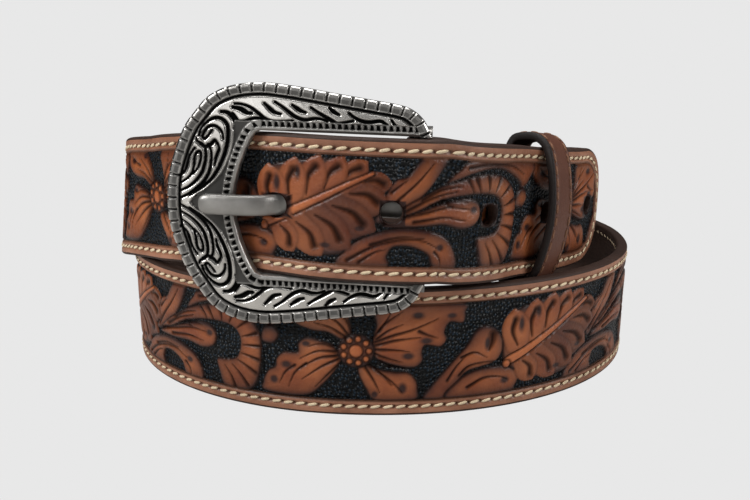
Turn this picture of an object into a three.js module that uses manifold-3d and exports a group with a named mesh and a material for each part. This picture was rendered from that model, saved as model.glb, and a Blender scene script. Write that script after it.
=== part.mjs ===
// A tooled western belt, fastened through its buckle and coiled in two turns that stand on their edge.
// Millimetres, +Z up. The buckle faces -Y, and the belt stands on the lower turn's bottom edge.
import * as THREE from 'three';
import { mergeVertices } from 'three/addons/utils/BufferGeometryUtils.js';
import Module from 'manifold-3d';

const wasm = await Module();
wasm.setup();

// Strap
const STRAP_WIDTH = 38;
const STRAP_THICKNESS = 3.6;
const SKIVED_THICKNESS = 1.8;
const SKIVE_LENGTH = 15;
const EDGE_CHAMFER = 0.6;
const FOLD_LENGTH = 70;
const LAYER_GAP = 0.4;
const SECTION_STEP = 5.5;

// Punched holes, counted from the one behind the frame's left limb
const HOLE_DIAMETER = 5.9;
const HOLE_PITCH = 29.5;
const HOLE_COUNT = 5;
const PRONG_HOLE = 1;
const PRONG_HOLE_FROM_BAR = 37.5;

// Coil, seen from above: the outer face of the lower turn is close to this ellipse
const COIL_HALF_LENGTH = 88.5;
const COIL_HALF_DEPTH = 73;
const TURN_GAP = 3.5;
const BAR_ANGLE = 277.3;
const TIP_ANGLE = 1069.6;

// Buckle frame
const FRAME_LENGTH = 69.8;
const LIMB_HEIGHT = 13.3;
const PLATE_THICKNESS = 3;
const RELIEF_HEIGHT = 0.8;
const RIM_WIDTH = 2.6;
const BORDER_WIDTH = 2.3;
const WINDOW_PLAY = 0.5;
const WINDOW_BOW = 17.3;
const PLATE_BEHIND_FOLD = 1.7;
const FRAME_TURN = 4.5;
const FRAME_ROLL = 2;
const BAR_DIAMETER = 3.5;
const BAR_FROM_END = 3.2;
const BOSS_LENGTH = 6;

// Prong
const PRONG_WIDTH = 5.5;
const PRONG_THICKNESS = 3;
const PRONG_EYE_WALL = 1.5;
const PRONG_PAST_WINDOW = 8.3;
const PRONG_TAPER = 4;

// Keeper
const KEEPER_WIDTH = 10.5;
const KEEPER_THICKNESS = 2.4;
const KEEPER_FROM_BAR = 49;
const KEEPER_BULGE = 4.5;
const KEEPER_HEADROOM = 1.8;

// Screw posts that hold the folded buckle end
const POST_HEAD_DIAMETER = 8;
const POST_HEAD_THICKNESS = 0.9;
const POST_SHANK_DIAMETER = 4;
const POSTS_FROM_BAR = [24, 62];
const POST_PLAY = 0.45;

// Gaps between pieces
const PLAY = 0.3;
const TURN_CLEARANCE = 0.4;

const LAYER_PITCH = STRAP_THICKNESS + LAYER_GAP;
const TURN_LIFT = STRAP_WIDTH + TURN_GAP;
const BAR_RADIUS = BAR_DIAMETER / 2;

// The coil's outer face, from the heel bar, down and round the lower turn, and up to the tip.
// angle: degrees round the coil, 270 at the front. out: shares of the layer pitch outside the ellipse.
// lift: height of the strap's bottom edge, in shares of the turn lift.
const COIL_ROWS = [
  { angle: 265, out: 0.82, lift: 1.016 },
  { angle: 277.8, out: 0.86, lift: 1 },
  { angle: 281, out: 0.68, lift: 0.996 },
  { angle: 286, out: 0.24, lift: 0.973 },
  { angle: 293.2, out: -0.74, lift: 0.945 },
  { angle: 304.8, out: -2.48, lift: 0.91 },
  { angle: 315.4, out: -3.5, lift: 0.87 },
  { angle: 325.2, out: -3.95, lift: 0.845 },
  { angle: 335.6, out: -4.2, lift: 0.825 },
  { angle: 346.3, out: -3.98, lift: 0.79 },
  { angle: 360, out: -3.6, lift: 0.72 },
  { angle: 405, out: -2.65, lift: 0.5 },
  { angle: 450, out: -1.88, lift: 0.26 },
  { angle: 495, out: -1.2, lift: 0.07 },
  { angle: 530, out: -0.5, lift: 0 },
  { angle: 554, out: 0, lift: 0 },
  { angle: 600, out: 0.05, lift: 0 },
  { angle: 630, out: -0.07, lift: 0 },
  { angle: 680, out: 0, lift: 0 },
  { angle: 712, out: 0.05, lift: 0 },
  { angle: 730, out: 0.35, lift: 0.01 },
  { angle: 765, out: 0.5, lift: 0.14 },
  { angle: 810, out: 0.35, lift: 0.39 },
  { angle: 855, out: 0.45, lift: 0.65 },
  { angle: 897, out: 0.98, lift: 0.83 },
  { angle: 912, out: 1.15, lift: 0.88 },
  { angle: 922, out: 0.8, lift: 0.937 },
  { angle: 932, out: 0.15, lift: 0.955 },
  { angle: 940.5, out: 0.16, lift: 0.98 },
  { angle: 949.2, out: 0.27, lift: 1.003 },
  { angle: 957.7, out: 0.52, lift: 1.0245 },
  { angle: 963.2, out: 0.79, lift: 1.031 },
  { angle: 969.3, out: 1.2, lift: 1.032 },
  { angle: 975.5, out: 1.56, lift: 1.0265 },
  { angle: 981.4, out: 1.76, lift: 1.0192 },
  { angle: 987.1, out: 1.82, lift: 1.0122 },
  { angle: 997.8, out: 1.86, lift: 0.999 },
  { angle: 1001, out: 1.68, lift: 0.995 },
  { angle: 1006, out: 1.24, lift: 0.972 },
  { angle: 1013.2, out: 0.3, lift: 0.945 },
  { angle: 1024.8, out: -1.45, lift: 0.91 },
  { angle: 1035.4, out: -2.5, lift: 0.87 },
  { angle: 1045.2, out: -2.95, lift: 0.845 },
  { angle: 1055.6, out: -3.16, lift: 0.825 },
  { angle: 1070, out: -2.7, lift: 0.82 },
  { angle: 1080, out: -2.4, lift: 0.82 },
];

// The frame's outline from its right end to the middle of its left limb, upper half.
// along: shares of half the frame's length. up: shares of half its height.
const OUTLINE_ROWS = [
  { along: 0.974, up: 0.637 },
  { along: 0.923, up: 0.738 },
  { along: 0.837, up: 0.817 },
  { along: 0.736, up: 0.854 },
  { along: 0.536, up: 0.887 },
  { along: 0.249, up: 0.933 },
  { along: -0.037, up: 0.979 },
  { along: -0.281, up: 1 },
  { along: -0.499, up: 0.963 },
  { along: -0.662, up: 0.872 },
  { along: -0.774, up: 0.729 },
  { along: -0.854, up: 0.601 },
  { along: -0.926, up: 0.419 },
  { along: -0.986, up: 0.204 },
  { along: -1, up: 0 },
];

// The window's bowed left edge, upper half. along: shares of the bow's reach. up: shares of half its height.
const WINDOW_ROWS = [
  { along: 0.67, up: 1 },
  { along: 0.735, up: 0.975 },
  { along: 0.775, up: 0.9 },
  { along: 0.83, up: 0.74 },
  { along: 0.91, up: 0.51 },
  { along: 0.97, up: 0.256 },
  { along: 1, up: 0 },
];

// Raised scrolls and leaves, upper half, in shares of the frame's half length and half height.
// wide: the widest half width of each, in shares of the rim's width.
const RELIEF_CURVES = [
  {
    wide: 0.46,
    rows: [[-0.87, 0.06], [-0.65, 0.28], [-0.55, 0.42], [-0.52, 0.54], [-0.55, 0.66], [-0.63, 0.72],
      [-0.71, 0.7], [-0.74, 0.62], [-0.7, 0.55], [-0.66, 0.6]],
  },
  { wide: 0.4, rows: [[-0.88, 0.2], [-0.78, 0.29], [-0.71, 0.41], [-0.74, 0.5], [-0.81, 0.47]] },
  { wide: 0.42, rows: [[-0.42, 0.9], [-0.28, 0.88], [-0.16, 0.8], [-0.04, 0.74]] },
  { wide: 0.42, rows: [[-0.16, 0.89], [-0.04, 0.86], [0.1, 0.79], [0.24, 0.72]] },
  { wide: 0.38, rows: [[0.1, 0.86], [0.22, 0.83], [0.36, 0.76], [0.5, 0.7]] },
  { wide: 0.32, rows: [[0.36, 0.81], [0.48, 0.79], [0.6, 0.73], [0.72, 0.69]] },
];

// The keeper's inner outline, in shares of its reach from the middle of the layers that it holds.
// deep: towards the front. high: half height. The back half is flat, and the front bulges.
const KEEPER_ROWS = [
  { deep: 1, high: 0 },
  { deep: 0.93, high: 0.35 },
  { deep: 0.77, high: 0.68 },
  { deep: 0.56, high: 0.9 },
  { deep: 0.2, high: 1 },
  { deep: -0.35, high: 0.985 },
  { deep: -0.5, high: 0.93 },
  { deep: -0.545, high: 0.8 },
  { deep: -0.55, high: 0 },
];

const leather = new THREE.MeshStandardMaterial({ color: 0x8a5230, roughness: 0.6, metalness: 0 });
const keeperLeather = new THREE.MeshStandardMaterial({ color: 0x6e4632, roughness: 0.65, metalness: 0 });
const antiqueSilver = new THREE.MeshStandardMaterial({ color: 0xa8a59c, roughness: 0.35, metalness: 1 });
const darkSteel = new THREE.MeshStandardMaterial({ color: 0x77746c, roughness: 0.4, metalness: 1 });

// Smooth value of one column of a table, with no overshoot past its rows.
function tableValue(rows, column, angle) {
  let row = 1;
  while (row < rows.length - 1 && rows[row].angle < angle) row += 1;
  const slope = (k) => (rows[k + 1][column] - rows[k][column]) / (rows[k + 1].angle - rows[k].angle);
  const tangent = (k) => {
    if (k === 0) return slope(0);
    if (k === rows.length - 1) return slope(k - 1);
    const before = slope(k - 1);
    const after = slope(k);
    return before * after <= 0 ? 0 : 2 * before * after / (before + after);
  };
  const from = rows[row - 1];
  const to = rows[row];
  const span = to.angle - from.angle;
  const t = THREE.MathUtils.clamp((angle - from.angle) / span, 0, 1);
  const t2 = t * t;
  const t3 = t2 * t;
  return from[column] * (2 * t3 - 3 * t2 + 1) + to[column] * (3 * t2 - 2 * t3)
    + span * (tangent(row - 1) * (t3 - 2 * t2 + t) + tangent(row) * (t3 - t2));
}

// Point on the strap's outer face, with the height of the strap's middle line.
function facePoint(angle) {
  const turn = THREE.MathUtils.degToRad(angle);
  const cosine = Math.cos(turn);
  const sine = Math.sin(turn);
  const ellipse = COIL_HALF_LENGTH * COIL_HALF_DEPTH
    / Math.hypot(COIL_HALF_DEPTH * cosine, COIL_HALF_LENGTH * sine);
  const radius = ellipse + LAYER_PITCH * tableValue(COIL_ROWS, 'out', angle);
  const bottom = Math.max(0, TURN_LIFT * tableValue(COIL_ROWS, 'lift', angle));
  return new THREE.Vector3(radius * cosine, radius * sine, bottom + STRAP_WIDTH / 2);
}

// The outer face as a fine path with its length so far, its outward normal and its angle.
function facePath() {
  const degreeStep = 1;
  const path = [];
  let length = 0;
  for (let angle = BAR_ANGLE; angle <= TIP_ANGLE; angle += degreeStep) {
    const point = facePoint(angle);
    const ahead = facePoint(angle + degreeStep);
    const behind = facePoint(angle - degreeStep);
    const normal = new THREE.Vector3(ahead.y - behind.y, behind.x - ahead.x, 0).normalize();
    if (path.length > 0) length += Math.hypot(point.x - path.at(-1).point.x, point.y - path.at(-1).point.y);
    path.push({ angle, point, normal, length });
  }
  return path;
}

const FACE = facePath();
const STRAP_REACH = FACE.at(-1).length;

// Place on the outer face at a length from the heel bar.
function faceAt(length) {
  let k = 1;
  while (k < FACE.length - 1 && FACE[k].length < length) k += 1;
  const from = FACE[k - 1];
  const to = FACE[k];
  const t = (length - from.length) / (to.length - from.length);
  const point = from.point.clone().lerp(to.point, t);
  const normal = from.normal.clone().lerp(to.normal, t).normalize();
  return { point, normal };
}

// Length at which the upper turn passes over the heel bar.
const BAR_LENGTH = FACE.find((place) => place.angle >= BAR_ANGLE + 720).length;

// Places behind the outer face, by a depth into the coil.
function inside(place, depth) {
  return place.point.clone().addScaledVector(place.normal, -depth);
}

// Closed mesh from rings of equal numbers of points, capped flat at both ends.
function ringGeometry(rings) {
  const count = rings[0].length;
  const positions = rings.flat().flatMap((point) => [point.x, point.y, point.z]);
  const faces = [];
  for (let r = 0; r < rings.length - 1; r += 1) {
    for (let k = 0; k < count; k += 1) {
      const a = r * count + k;
      const b = r * count + (k + 1) % count;
      faces.push(a, b + count, b, a, a + count, b + count);
    }
  }
  const last = (rings.length - 1) * count;
  for (let k = 1; k < count - 1; k += 1) {
    faces.push(0, k, k + 1);
    faces.push(last, last + k + 1, last + k);
  }
  const geometry = new THREE.BufferGeometry();
  geometry.setAttribute('position', new THREE.Float32BufferAttribute(positions, 3));
  geometry.setIndex(faces);
  return geometry;
}

// Flat band with chamfered edges along places that each give a middle point, a thickness and a width.
function bandGeometry(places, chamfer) {
  const vertical = new THREE.Vector3(0, 0, 1);
  const rings = places.map((place, k) => {
    const before = places[Math.max(0, k - 1)].middle;
    const after = places[Math.min(places.length - 1, k + 1)].middle;
    const along = after.clone().sub(before).normalize();
    const normal = along.clone().cross(place.up ?? vertical).normalize();
    const across = normal.clone().cross(along).normalize();
    const thick = place.thickness / 2;
    const wide = place.width / 2;
    const cut = Math.min(chamfer, thick * 0.6, wide * 0.6);
    const corners = [[thick, cut - wide], [thick, wide - cut], [thick - cut, wide], [cut - thick, wide],
      [-thick, wide - cut], [-thick, cut - wide], [cut - thick, -wide], [thick - cut, -wide]];
    return corners.map(([out, rise]) => place.middle.clone()
      .addScaledVector(normal, out)
      .addScaledVector(across, rise));
  });
  return ringGeometry(rings);
}

// Solid for joining and cutting, from any closed geometry.
function solid(geometry, matrix = new THREE.Matrix4()) {
  const bare = geometry.clone().applyMatrix4(matrix);
  bare.deleteAttribute('normal');
  bare.deleteAttribute('uv');
  const merged = mergeVertices(bare, 1e-4);
  const mesh = new wasm.Mesh({
    numProp: 3,
    vertProperties: new Float32Array(merged.attributes.position.array),
    triVerts: new Uint32Array(merged.index.array),
  });
  return new wasm.Manifold(mesh);
}

function geometryOf(manifold) {
  const mesh = manifold.getMesh();
  const geometry = new THREE.BufferGeometry();
  geometry.setAttribute('position', new THREE.BufferAttribute(mesh.vertProperties, 3));
  geometry.setIndex(new THREE.BufferAttribute(mesh.triVerts, 1));
  return geometry;
}

function joined(solids) {
  return solids.reduce((whole, piece) => whole.add(piece));
}

// Matrix that stands a Y-axis shape along a normal, at a point.
function alongNormal(point, normal) {
  const turn = new THREE.Quaternion().setFromUnitVectors(new THREE.Vector3(0, 1, 0), normal);
  return new THREE.Matrix4().compose(point, turn, new THREE.Vector3(1, 1, 1));
}

// Heel bar and frame, placed from the fold's outer face
const foldFace = faceAt(0);
const barDepth = SKIVED_THICKNESS + PLAY + BAR_RADIUS;
const barCentre = inside(foldFace, barDepth);
const WINDOW_HALF = STRAP_WIDTH / 2 + WINDOW_PLAY;
const FRAME_HALF_LENGTH = FRAME_LENGTH / 2;
const FRAME_HALF_HEIGHT = WINDOW_HALF + LIMB_HEIGHT;
const FRAME_FRONT = PLATE_THICKNESS + RELIEF_HEIGHT;
const barAlong = FRAME_HALF_LENGTH - BAR_FROM_END;
const barBehind = barDepth - PLATE_BEHIND_FOLD;

// Frame coordinates: x to the right, y up, z out of the plate's back face, towards the front.
const frameMatrix = new THREE.Matrix4()
  .makeTranslation(barCentre)
  .multiply(new THREE.Matrix4().makeRotationZ(-THREE.MathUtils.degToRad(FRAME_TURN)))
  .multiply(new THREE.Matrix4().makeRotationX(Math.PI / 2))
  .multiply(new THREE.Matrix4().makeRotationZ(-THREE.MathUtils.degToRad(FRAME_ROLL)))
  .multiply(new THREE.Matrix4().makeTranslation(-barAlong, 0, barBehind));
const barAxis = new THREE.Vector3(0, 1, 0).transformDirection(frameMatrix);

// Strap: folded leg, bend round the heel bar, two turns and rounded tip.
function strapPlaces() {
  const places = [];
  const skiveShare = (length) => THREE.MathUtils.smoothstep(length, 0, SKIVE_LENGTH);
  const legAtBar = SKIVED_THICKNESS + PLAY + BAR_DIAMETER + PLAY + SKIVED_THICKNESS / 2;
  const legBeyond = LAYER_PITCH + SKIVED_THICKNESS / 2;
  const legSteps = Math.round(FOLD_LENGTH / SECTION_STEP);
  for (let k = legSteps; k > 0; k -= 1) {
    const length = FOLD_LENGTH * k / legSteps;
    const depth = THREE.MathUtils.lerp(legAtBar, legBeyond, skiveShare(length));
    places.push({ middle: inside(faceAt(length), depth), thickness: SKIVED_THICKNESS, width: STRAP_WIDTH });
  }
  const bendSteps = 10;
  const bendRadius = BAR_RADIUS + PLAY + SKIVED_THICKNESS / 2;
  const outward = Math.atan2(foldFace.normal.y, foldFace.normal.x);
  for (let k = 0; k <= bendSteps; k += 1) {
    const turn = outward - Math.PI + Math.PI * (k / bendSteps);
    const outwards = new THREE.Vector3(Math.cos(turn), Math.sin(turn), 0);
    outwards.addScaledVector(barAxis, -outwards.dot(barAxis)).normalize();
    const middle = barCentre.clone().addScaledVector(outwards, bendRadius);
    places.push({ middle, thickness: SKIVED_THICKNESS, width: STRAP_WIDTH, up: barAxis });
  }
  const tipRadius = STRAP_WIDTH / 2;
  const straight = STRAP_REACH - tipRadius;
  const steps = Math.round(straight / SECTION_STEP);
  for (let k = 1; k <= steps; k += 1) {
    const length = straight * k / steps;
    const thickness = THREE.MathUtils.lerp(SKIVED_THICKNESS, STRAP_THICKNESS, skiveShare(length));
    places.push({ middle: inside(faceAt(length), thickness / 2), thickness, width: STRAP_WIDTH });
  }
  const tipSteps = 8;
  for (let k = 1; k <= tipSteps; k += 1) {
    const turn = Math.PI / 2 * (k / (tipSteps + 0.4));
    const length = straight + tipRadius * Math.sin(turn);
    const width = STRAP_WIDTH * Math.cos(turn);
    places.push({ middle: inside(faceAt(length), STRAP_THICKNESS / 2), thickness: STRAP_THICKNESS, width });
  }
  return places;
}

function cylinder(radius, length, sides, matrix) {
  return solid(new THREE.CylinderGeometry(radius, radius, length, sides), matrix);
}

// Prong's straight shank, grown on all sides by a clearance.
function prongShank(clearance) {
  const limbEdge = barAlong + WINDOW_BOW - 1;
  const reach = barAlong + WINDOW_BOW + PRONG_PAST_WINDOW;
  const onLimb = FRAME_FRONT + PLAY + PRONG_THICKNESS / 2;
  const stations = [
    { station: 0, out: -barBehind, share: 1 },
    { station: limbEdge, out: onLimb, share: 1 },
    { station: reach - PRONG_TAPER, out: onLimb, share: 1 },
    { station: reach - PRONG_TAPER * 0.3, out: onLimb, share: 0.86 },
    { station: reach, out: onLimb, share: 0.55 },
  ];
  const places = stations.map(({ station, out, share }) => ({
    middle: new THREE.Vector3(barAlong - station, -out, 0),
    thickness: PRONG_THICKNESS * share + 2 * clearance,
    width: PRONG_WIDTH * share + 2 * clearance,
  }));
  return solid(bandGeometry(places, PRONG_THICKNESS * 0.28), prongMatrix());
}

// Prong coordinates: x to the right, y into the coil, z up, with the plate's back face at y = 0.
function prongMatrix() {
  return frameMatrix.clone().multiply(new THREE.Matrix4().makeRotationX(-Math.PI / 2));
}

function makeProng() {
  const eyeRadius = BAR_RADIUS + PLAY + PRONG_EYE_WALL;
  const upright = alongNormal(barCentre, barAxis);
  const eye = cylinder(eyeRadius, PRONG_WIDTH, 20, upright);
  const bore = cylinder(BAR_RADIUS + PLAY, PRONG_WIDTH * 3, 20, upright);
  return joined([eye, prongShank(0)]).subtract(bore);
}

function makeStrap() {
  let strap = solid(bandGeometry(strapPlaces(), EDGE_CHAMFER));
  for (let k = 0; k < HOLE_COUNT; k += 1) {
    const place = faceAt(BAR_LENGTH - PRONG_HOLE_FROM_BAR + HOLE_PITCH * (k - PRONG_HOLE));
    const middle = inside(place, STRAP_THICKNESS / 2);
    const drill = cylinder(HOLE_DIAMETER / 2, STRAP_THICKNESS + LAYER_GAP, 16, alongNormal(middle, place.normal));
    strap = strap.subtract(drill);
  }
  const slotLength = BAR_DIAMETER + 2 * (PLAY + PRONG_EYE_WALL) + 5;
  const slot = new THREE.BoxGeometry(slotLength, slotLength, PRONG_WIDTH + 4 * PLAY);
  const slotMiddle = barCentre.clone();
  slotMiddle.x += BAR_RADIUS + 3 * PLAY + PRONG_EYE_WALL - slotLength / 2;
  slotMiddle.addScaledVector(foldFace.normal, barDepth + LAYER_GAP / 2 - slotLength / 2);
  const slotTurn = new THREE.Matrix4().makeTranslation(slotMiddle);
  strap = strap.subtract(solid(slot, slotTurn)).subtract(prongShank(PLAY));
  for (const length of POSTS_FROM_BAR) {
    const place = faceAt(length);
    const bore = cylinder(POST_SHANK_DIAMETER / 2 + POST_PLAY, LAYER_PITCH * 3, 16,
      alongNormal(inside(place, LAYER_PITCH), place.normal));
    const seatDepth = POST_HEAD_THICKNESS + PLAY + POST_PLAY;
    const seat = cylinder(POST_HEAD_DIAMETER / 2 + POST_PLAY, 2 * seatDepth, 20,
      alongNormal(place.point, place.normal));
    strap = strap.subtract(bore).subtract(seat);
  }
  return strap;
}

function makePost(length) {
  const place = faceAt(length);
  const stack = LAYER_PITCH + SKIVED_THICKNESS;
  const innerHead = stack + POST_PLAY;
  const matrix = (depth) => alongNormal(inside(place, depth), place.normal);
  const outer = cylinder(POST_HEAD_DIAMETER / 2, POST_HEAD_THICKNESS, 20,
    matrix(PLAY + POST_HEAD_THICKNESS / 2));
  const inner = cylinder(POST_HEAD_DIAMETER / 2, POST_HEAD_THICKNESS, 20,
    matrix(innerHead + POST_HEAD_THICKNESS / 2));
  const shank = cylinder(POST_SHANK_DIAMETER / 2, innerHead, 16, matrix(innerHead / 2 + PLAY));
  return joined([outer, inner, shank]);
}

// Upper-half rows of a curve, then the same rows mirrored below.
function mirrored(points) {
  const below = points.slice(0, -1).reverse().map((point) => new THREE.Vector2(point.x, -point.y));
  return [...points, ...below];
}

// Upper end of the frame's right side, where the outline meets the window.
function limbEnd() {
  return new THREE.Vector2(FRAME_HALF_LENGTH, WINDOW_HALF);
}

function outlinePoints() {
  const rows = OUTLINE_ROWS.map(({ along, up }) => new THREE.Vector2(
    along * FRAME_HALF_LENGTH,
    up * FRAME_HALF_HEIGHT,
  ));
  return mirrored([limbEnd(), ...rows]);
}

function windowPoints() {
  const bow = WINDOW_ROWS.map(({ along, up }) => new THREE.Vector2(-along * WINDOW_BOW, up * WINDOW_HALF));
  return mirrored([limbEnd(), ...bow]);
}

// Strip along points, from one side offset to the other, as a flat shape.
function ribbonShape(points, left, right) {
  const side = (offset) => points.map((point, k) => {
    const before = points[Math.max(0, k - 1)];
    const after = points[Math.min(points.length - 1, k + 1)];
    const along = after.clone().sub(before).normalize();
    const share = offset(k / (points.length - 1));
    return new THREE.Vector2(point.x - along.y * share, point.y + along.x * share);
  });
  return new THREE.Shape([...side(left), ...side(right).reverse()]);
}

function raised(shape, bottom, height) {
  const geometry = new THREE.ExtrudeGeometry(shape, { depth: height, bevelEnabled: false });
  return solid(geometry, new THREE.Matrix4().makeTranslation(0, 0, bottom));
}

function makeFrame() {
  const outline = new THREE.SplineCurve(outlinePoints()).getPoints(60);
  const opening = windowPoints();
  const plateShape = new THREE.Shape([...outline, ...opening.slice(1, -1).reverse()]);
  const plate = raised(plateShape, 0, PLATE_THICKNESS);
  const sunk = PLATE_THICKNESS / 2;
  const reliefDepth = PLATE_THICKNESS - sunk + RELIEF_HEIGHT;
  const rim = raised(ribbonShape(outline, () => RIM_WIDTH, () => 0), sunk, reliefDepth);
  const border = raised(ribbonShape(opening, () => 0, () => -BORDER_WIDTH), sunk, reliefDepth);
  const pieces = [plate, rim, border];
  for (const { wide, rows } of RELIEF_CURVES) {
    for (const side of [1, -1]) {
      const curve = new THREE.SplineCurve(rows.map(([along, up]) => new THREE.Vector2(
        along * FRAME_HALF_LENGTH,
        side * up * FRAME_HALF_HEIGHT,
      )));
      const points = curve.getPoints(4 * rows.length);
      const swell = (t) => wide * RIM_WIDTH * (0.25 + 0.75 * Math.sin(Math.PI * Math.min(1, t + 0.12)));
      pieces.push(raised(ribbonShape(points, swell, (t) => -swell(t)), sunk, reliefDepth));
    }
  }
  const corners = [1, -1].map((side) => new THREE.Vector2(FRAME_LENGTH, side * WINDOW_HALF));
  const window = raised(new THREE.Shape([...opening.slice(1, -1), corners[1], corners[0]]), -1, FRAME_FRONT + 2);
  const cast = joined(pieces).subtract(window);
  const fittings = [];
  const bossHeight = TURN_GAP - WINDOW_PLAY - TURN_CLEARANCE;
  const bossDepth = barBehind + BAR_RADIUS + sunk;
  for (const side of [1, -1]) {
    const boss = new THREE.BoxGeometry(BOSS_LENGTH, bossHeight, bossDepth);
    fittings.push(solid(boss, new THREE.Matrix4().makeTranslation(
      barAlong,
      side * (WINDOW_HALF + bossHeight / 2),
      sunk - bossDepth / 2,
    )));
  }
  const bar = new THREE.CylinderGeometry(BAR_RADIUS, BAR_RADIUS, 2 * WINDOW_HALF + bossHeight, 20);
  fittings.push(solid(bar, new THREE.Matrix4().makeTranslation(barAlong, 0, -barBehind)));
  return joined([cast, ...fittings]).transform(frameMatrix.elements);
}

// Loose oval loop round the tip, the buckle end and the folded leg.
function makeKeeper() {
  const place = faceAt(BAR_LENGTH + KEEPER_FROM_BAR);
  const stack = 2 * LAYER_PITCH + SKIVED_THICKNESS;
  const reach = stack / 2 + KEEPER_BULGE;
  const backShare = KEEPER_ROWS.at(-1).deep;
  const shift = (stack / 2 + PLAY) / reach + backShare;
  const inner = mirrored(KEEPER_ROWS.map(({ deep, high }) => new THREE.Vector2(
    (deep - (deep < 0 ? shift * deep / backShare : 0)) * reach,
    high * (STRAP_WIDTH / 2 + KEEPER_HEADROOM),
  ))).slice(0, -1);
  const innerCurve = new THREE.SplineCurve([...inner, inner[0]]).getPoints(44).slice(0, -1);
  const outerCurve = innerCurve.map((point, k) => {
    const before = innerCurve.at(k - 1);
    const after = innerCurve[(k + 1) % innerCurve.length];
    const along = after.clone().sub(before).normalize();
    return new THREE.Vector2(point.x + along.y * KEEPER_THICKNESS, point.y - along.x * KEEPER_THICKNESS);
  });
  const shape = new THREE.Shape(outerCurve);
  shape.holes.push(new THREE.Path(innerCurve));
  const loop = new THREE.ExtrudeGeometry(shape, { depth: KEEPER_WIDTH, bevelEnabled: false });
  loop.translate(0, 0, -KEEPER_WIDTH / 2);
  const ahead = faceAt(BAR_LENGTH + KEEPER_FROM_BAR + 1).point;
  const along = ahead.clone().sub(place.point).normalize();
  const across = place.normal.clone().cross(along).normalize();
  const normal = along.clone().cross(across).normalize();
  const basis = new THREE.Matrix4().makeBasis(normal, across, normal.clone().cross(across));
  basis.setPosition(inside(place, stack / 2));
  return solid(loop, basis);
}

const belt = new THREE.Group();

function addMesh(name, manifold, material) {
  const mesh = new THREE.Mesh(geometryOf(manifold), material);
  mesh.name = name;
  belt.add(mesh);
}

addMesh('strap', makeStrap(), leather);
addMesh('buckle_frame', makeFrame(), antiqueSilver);
addMesh('prong', makeProng(), antiqueSilver);
addMesh('keeper', makeKeeper(), keeperLeather);
POSTS_FROM_BAR.forEach((length, k) => addMesh(`screw_post_${k + 1}`, makePost(length), darkSteel));

// The origin is under the middle of the whole belt, on the surface that it stands on.
const box = new THREE.Box3().setFromObject(belt);
const middle = box.getCenter(new THREE.Vector3());
belt.position.set(-middle.x, -middle.y, -box.min.z);
belt.updateMatrixWorld(true);

export default belt;
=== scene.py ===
"""Looks of a tooled western belt, coiled in two turns and fastened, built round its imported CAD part.

Metres, +Z up, in the part's frame. Charts and tables are in millimetres, and every mesh is scaled once,
when it is made.
"""
import logging
import math
from dataclasses import dataclass
from enum import Enum

import bmesh
import bpy
import numpy as np
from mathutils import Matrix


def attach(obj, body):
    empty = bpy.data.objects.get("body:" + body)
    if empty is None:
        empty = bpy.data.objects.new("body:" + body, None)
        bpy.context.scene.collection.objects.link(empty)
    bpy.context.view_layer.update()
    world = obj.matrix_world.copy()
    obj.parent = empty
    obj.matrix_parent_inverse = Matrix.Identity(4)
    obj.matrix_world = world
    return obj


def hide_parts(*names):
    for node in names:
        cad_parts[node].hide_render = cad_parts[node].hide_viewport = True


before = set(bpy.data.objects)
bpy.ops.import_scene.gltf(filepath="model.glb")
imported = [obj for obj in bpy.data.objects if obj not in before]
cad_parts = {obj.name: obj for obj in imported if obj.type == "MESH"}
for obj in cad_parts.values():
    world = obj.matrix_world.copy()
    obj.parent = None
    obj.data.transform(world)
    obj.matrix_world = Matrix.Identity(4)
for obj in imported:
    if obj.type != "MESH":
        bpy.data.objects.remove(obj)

LOG = logging.getLogger("belt")
BODY = "root"
MM = 0.001

STRAP_WIDTH = 38.0
STRAP_THICKNESS = 3.6
SKIVED_THICKNESS = 1.8
SKIVE_LENGTH = 15.0
FOLD_LENGTH = 70.0
LAYER_GAP = 0.4
LAYER_PITCH = STRAP_THICKNESS + LAYER_GAP
STACK = 2 * LAYER_PITCH + SKIVED_THICKNESS
TURN_LIFT = 41.5
COIL_HALF_LENGTH = 88.5
COIL_HALF_DEPTH = 73.0
BAR_ANGLE = 277.3
PATH_DEGREES = 792.0
PATH_STEP = 0.25
PART_SHIFT = (1.71, 2.95)
HALF_WIDTH = STRAP_WIDTH / 2
EDGE_ROUND = 0.9

# Lengths of strap: start, end, row spacing, columns across the carved face
LENGTHS = ((0, 338, 0.8, 84), (338, 545, 0.33, 108), (545, 935, 0.7, 84))
TIP_STEP = 0.37
TIP_DEGREES = 88.5

HOLE_RADIUS = 2.95
HOLE_PITCH = 29.5
HOLE_COUNT = 5
PRONG_HOLE_FROM_BAR = 37.5
HOLE_LIP = 0.3

STITCH_INSET = 2.9
STITCH_PITCH = 3.65
STITCH_START = 8.0
STITCH_LENGTH = 3.1
STITCH_SLANT = math.radians(12)
STITCH_HALF_WIDTH = 0.45
STITCH_HALF_HEIGHT = 0.32

FIELD_INSET = 4.6
TILE_PERIOD = 150.0
TILE_STEP = 0.25
TILE_HALF = 15.0
GROUND_DEPTH = 0.75

FRAME_FRONT = 3.8
FRAME_TURN = math.radians(-4.5)
FRAME_ROLL = math.radians(-2)
FRAME_HALF_LENGTH = 34.9
FRAME_HALF_HEIGHT = 32.8
WINDOW_HALF = 19.5
WINDOW_BOW = 17.3
BAR_ALONG = 31.7
BAR_RADIUS = 1.75
BAR_BEHIND = 2.15
BAR_HALF_LENGTH = 20.8
BOSS_HALF = 3.0
BOSS_HEIGHT = 2.6
PLAY = 0.3
BAR_DEPTH = SKIVED_THICKNESS + PLAY + BAR_RADIUS
RIM_WIDTH = 2.7
UPPER_LIMB_SHARE = 0.91
LOWER_LIMB_SHARE = 1.04
BRICK_PITCH = 3.3
BEAD_PITCH = 1.65

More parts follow.
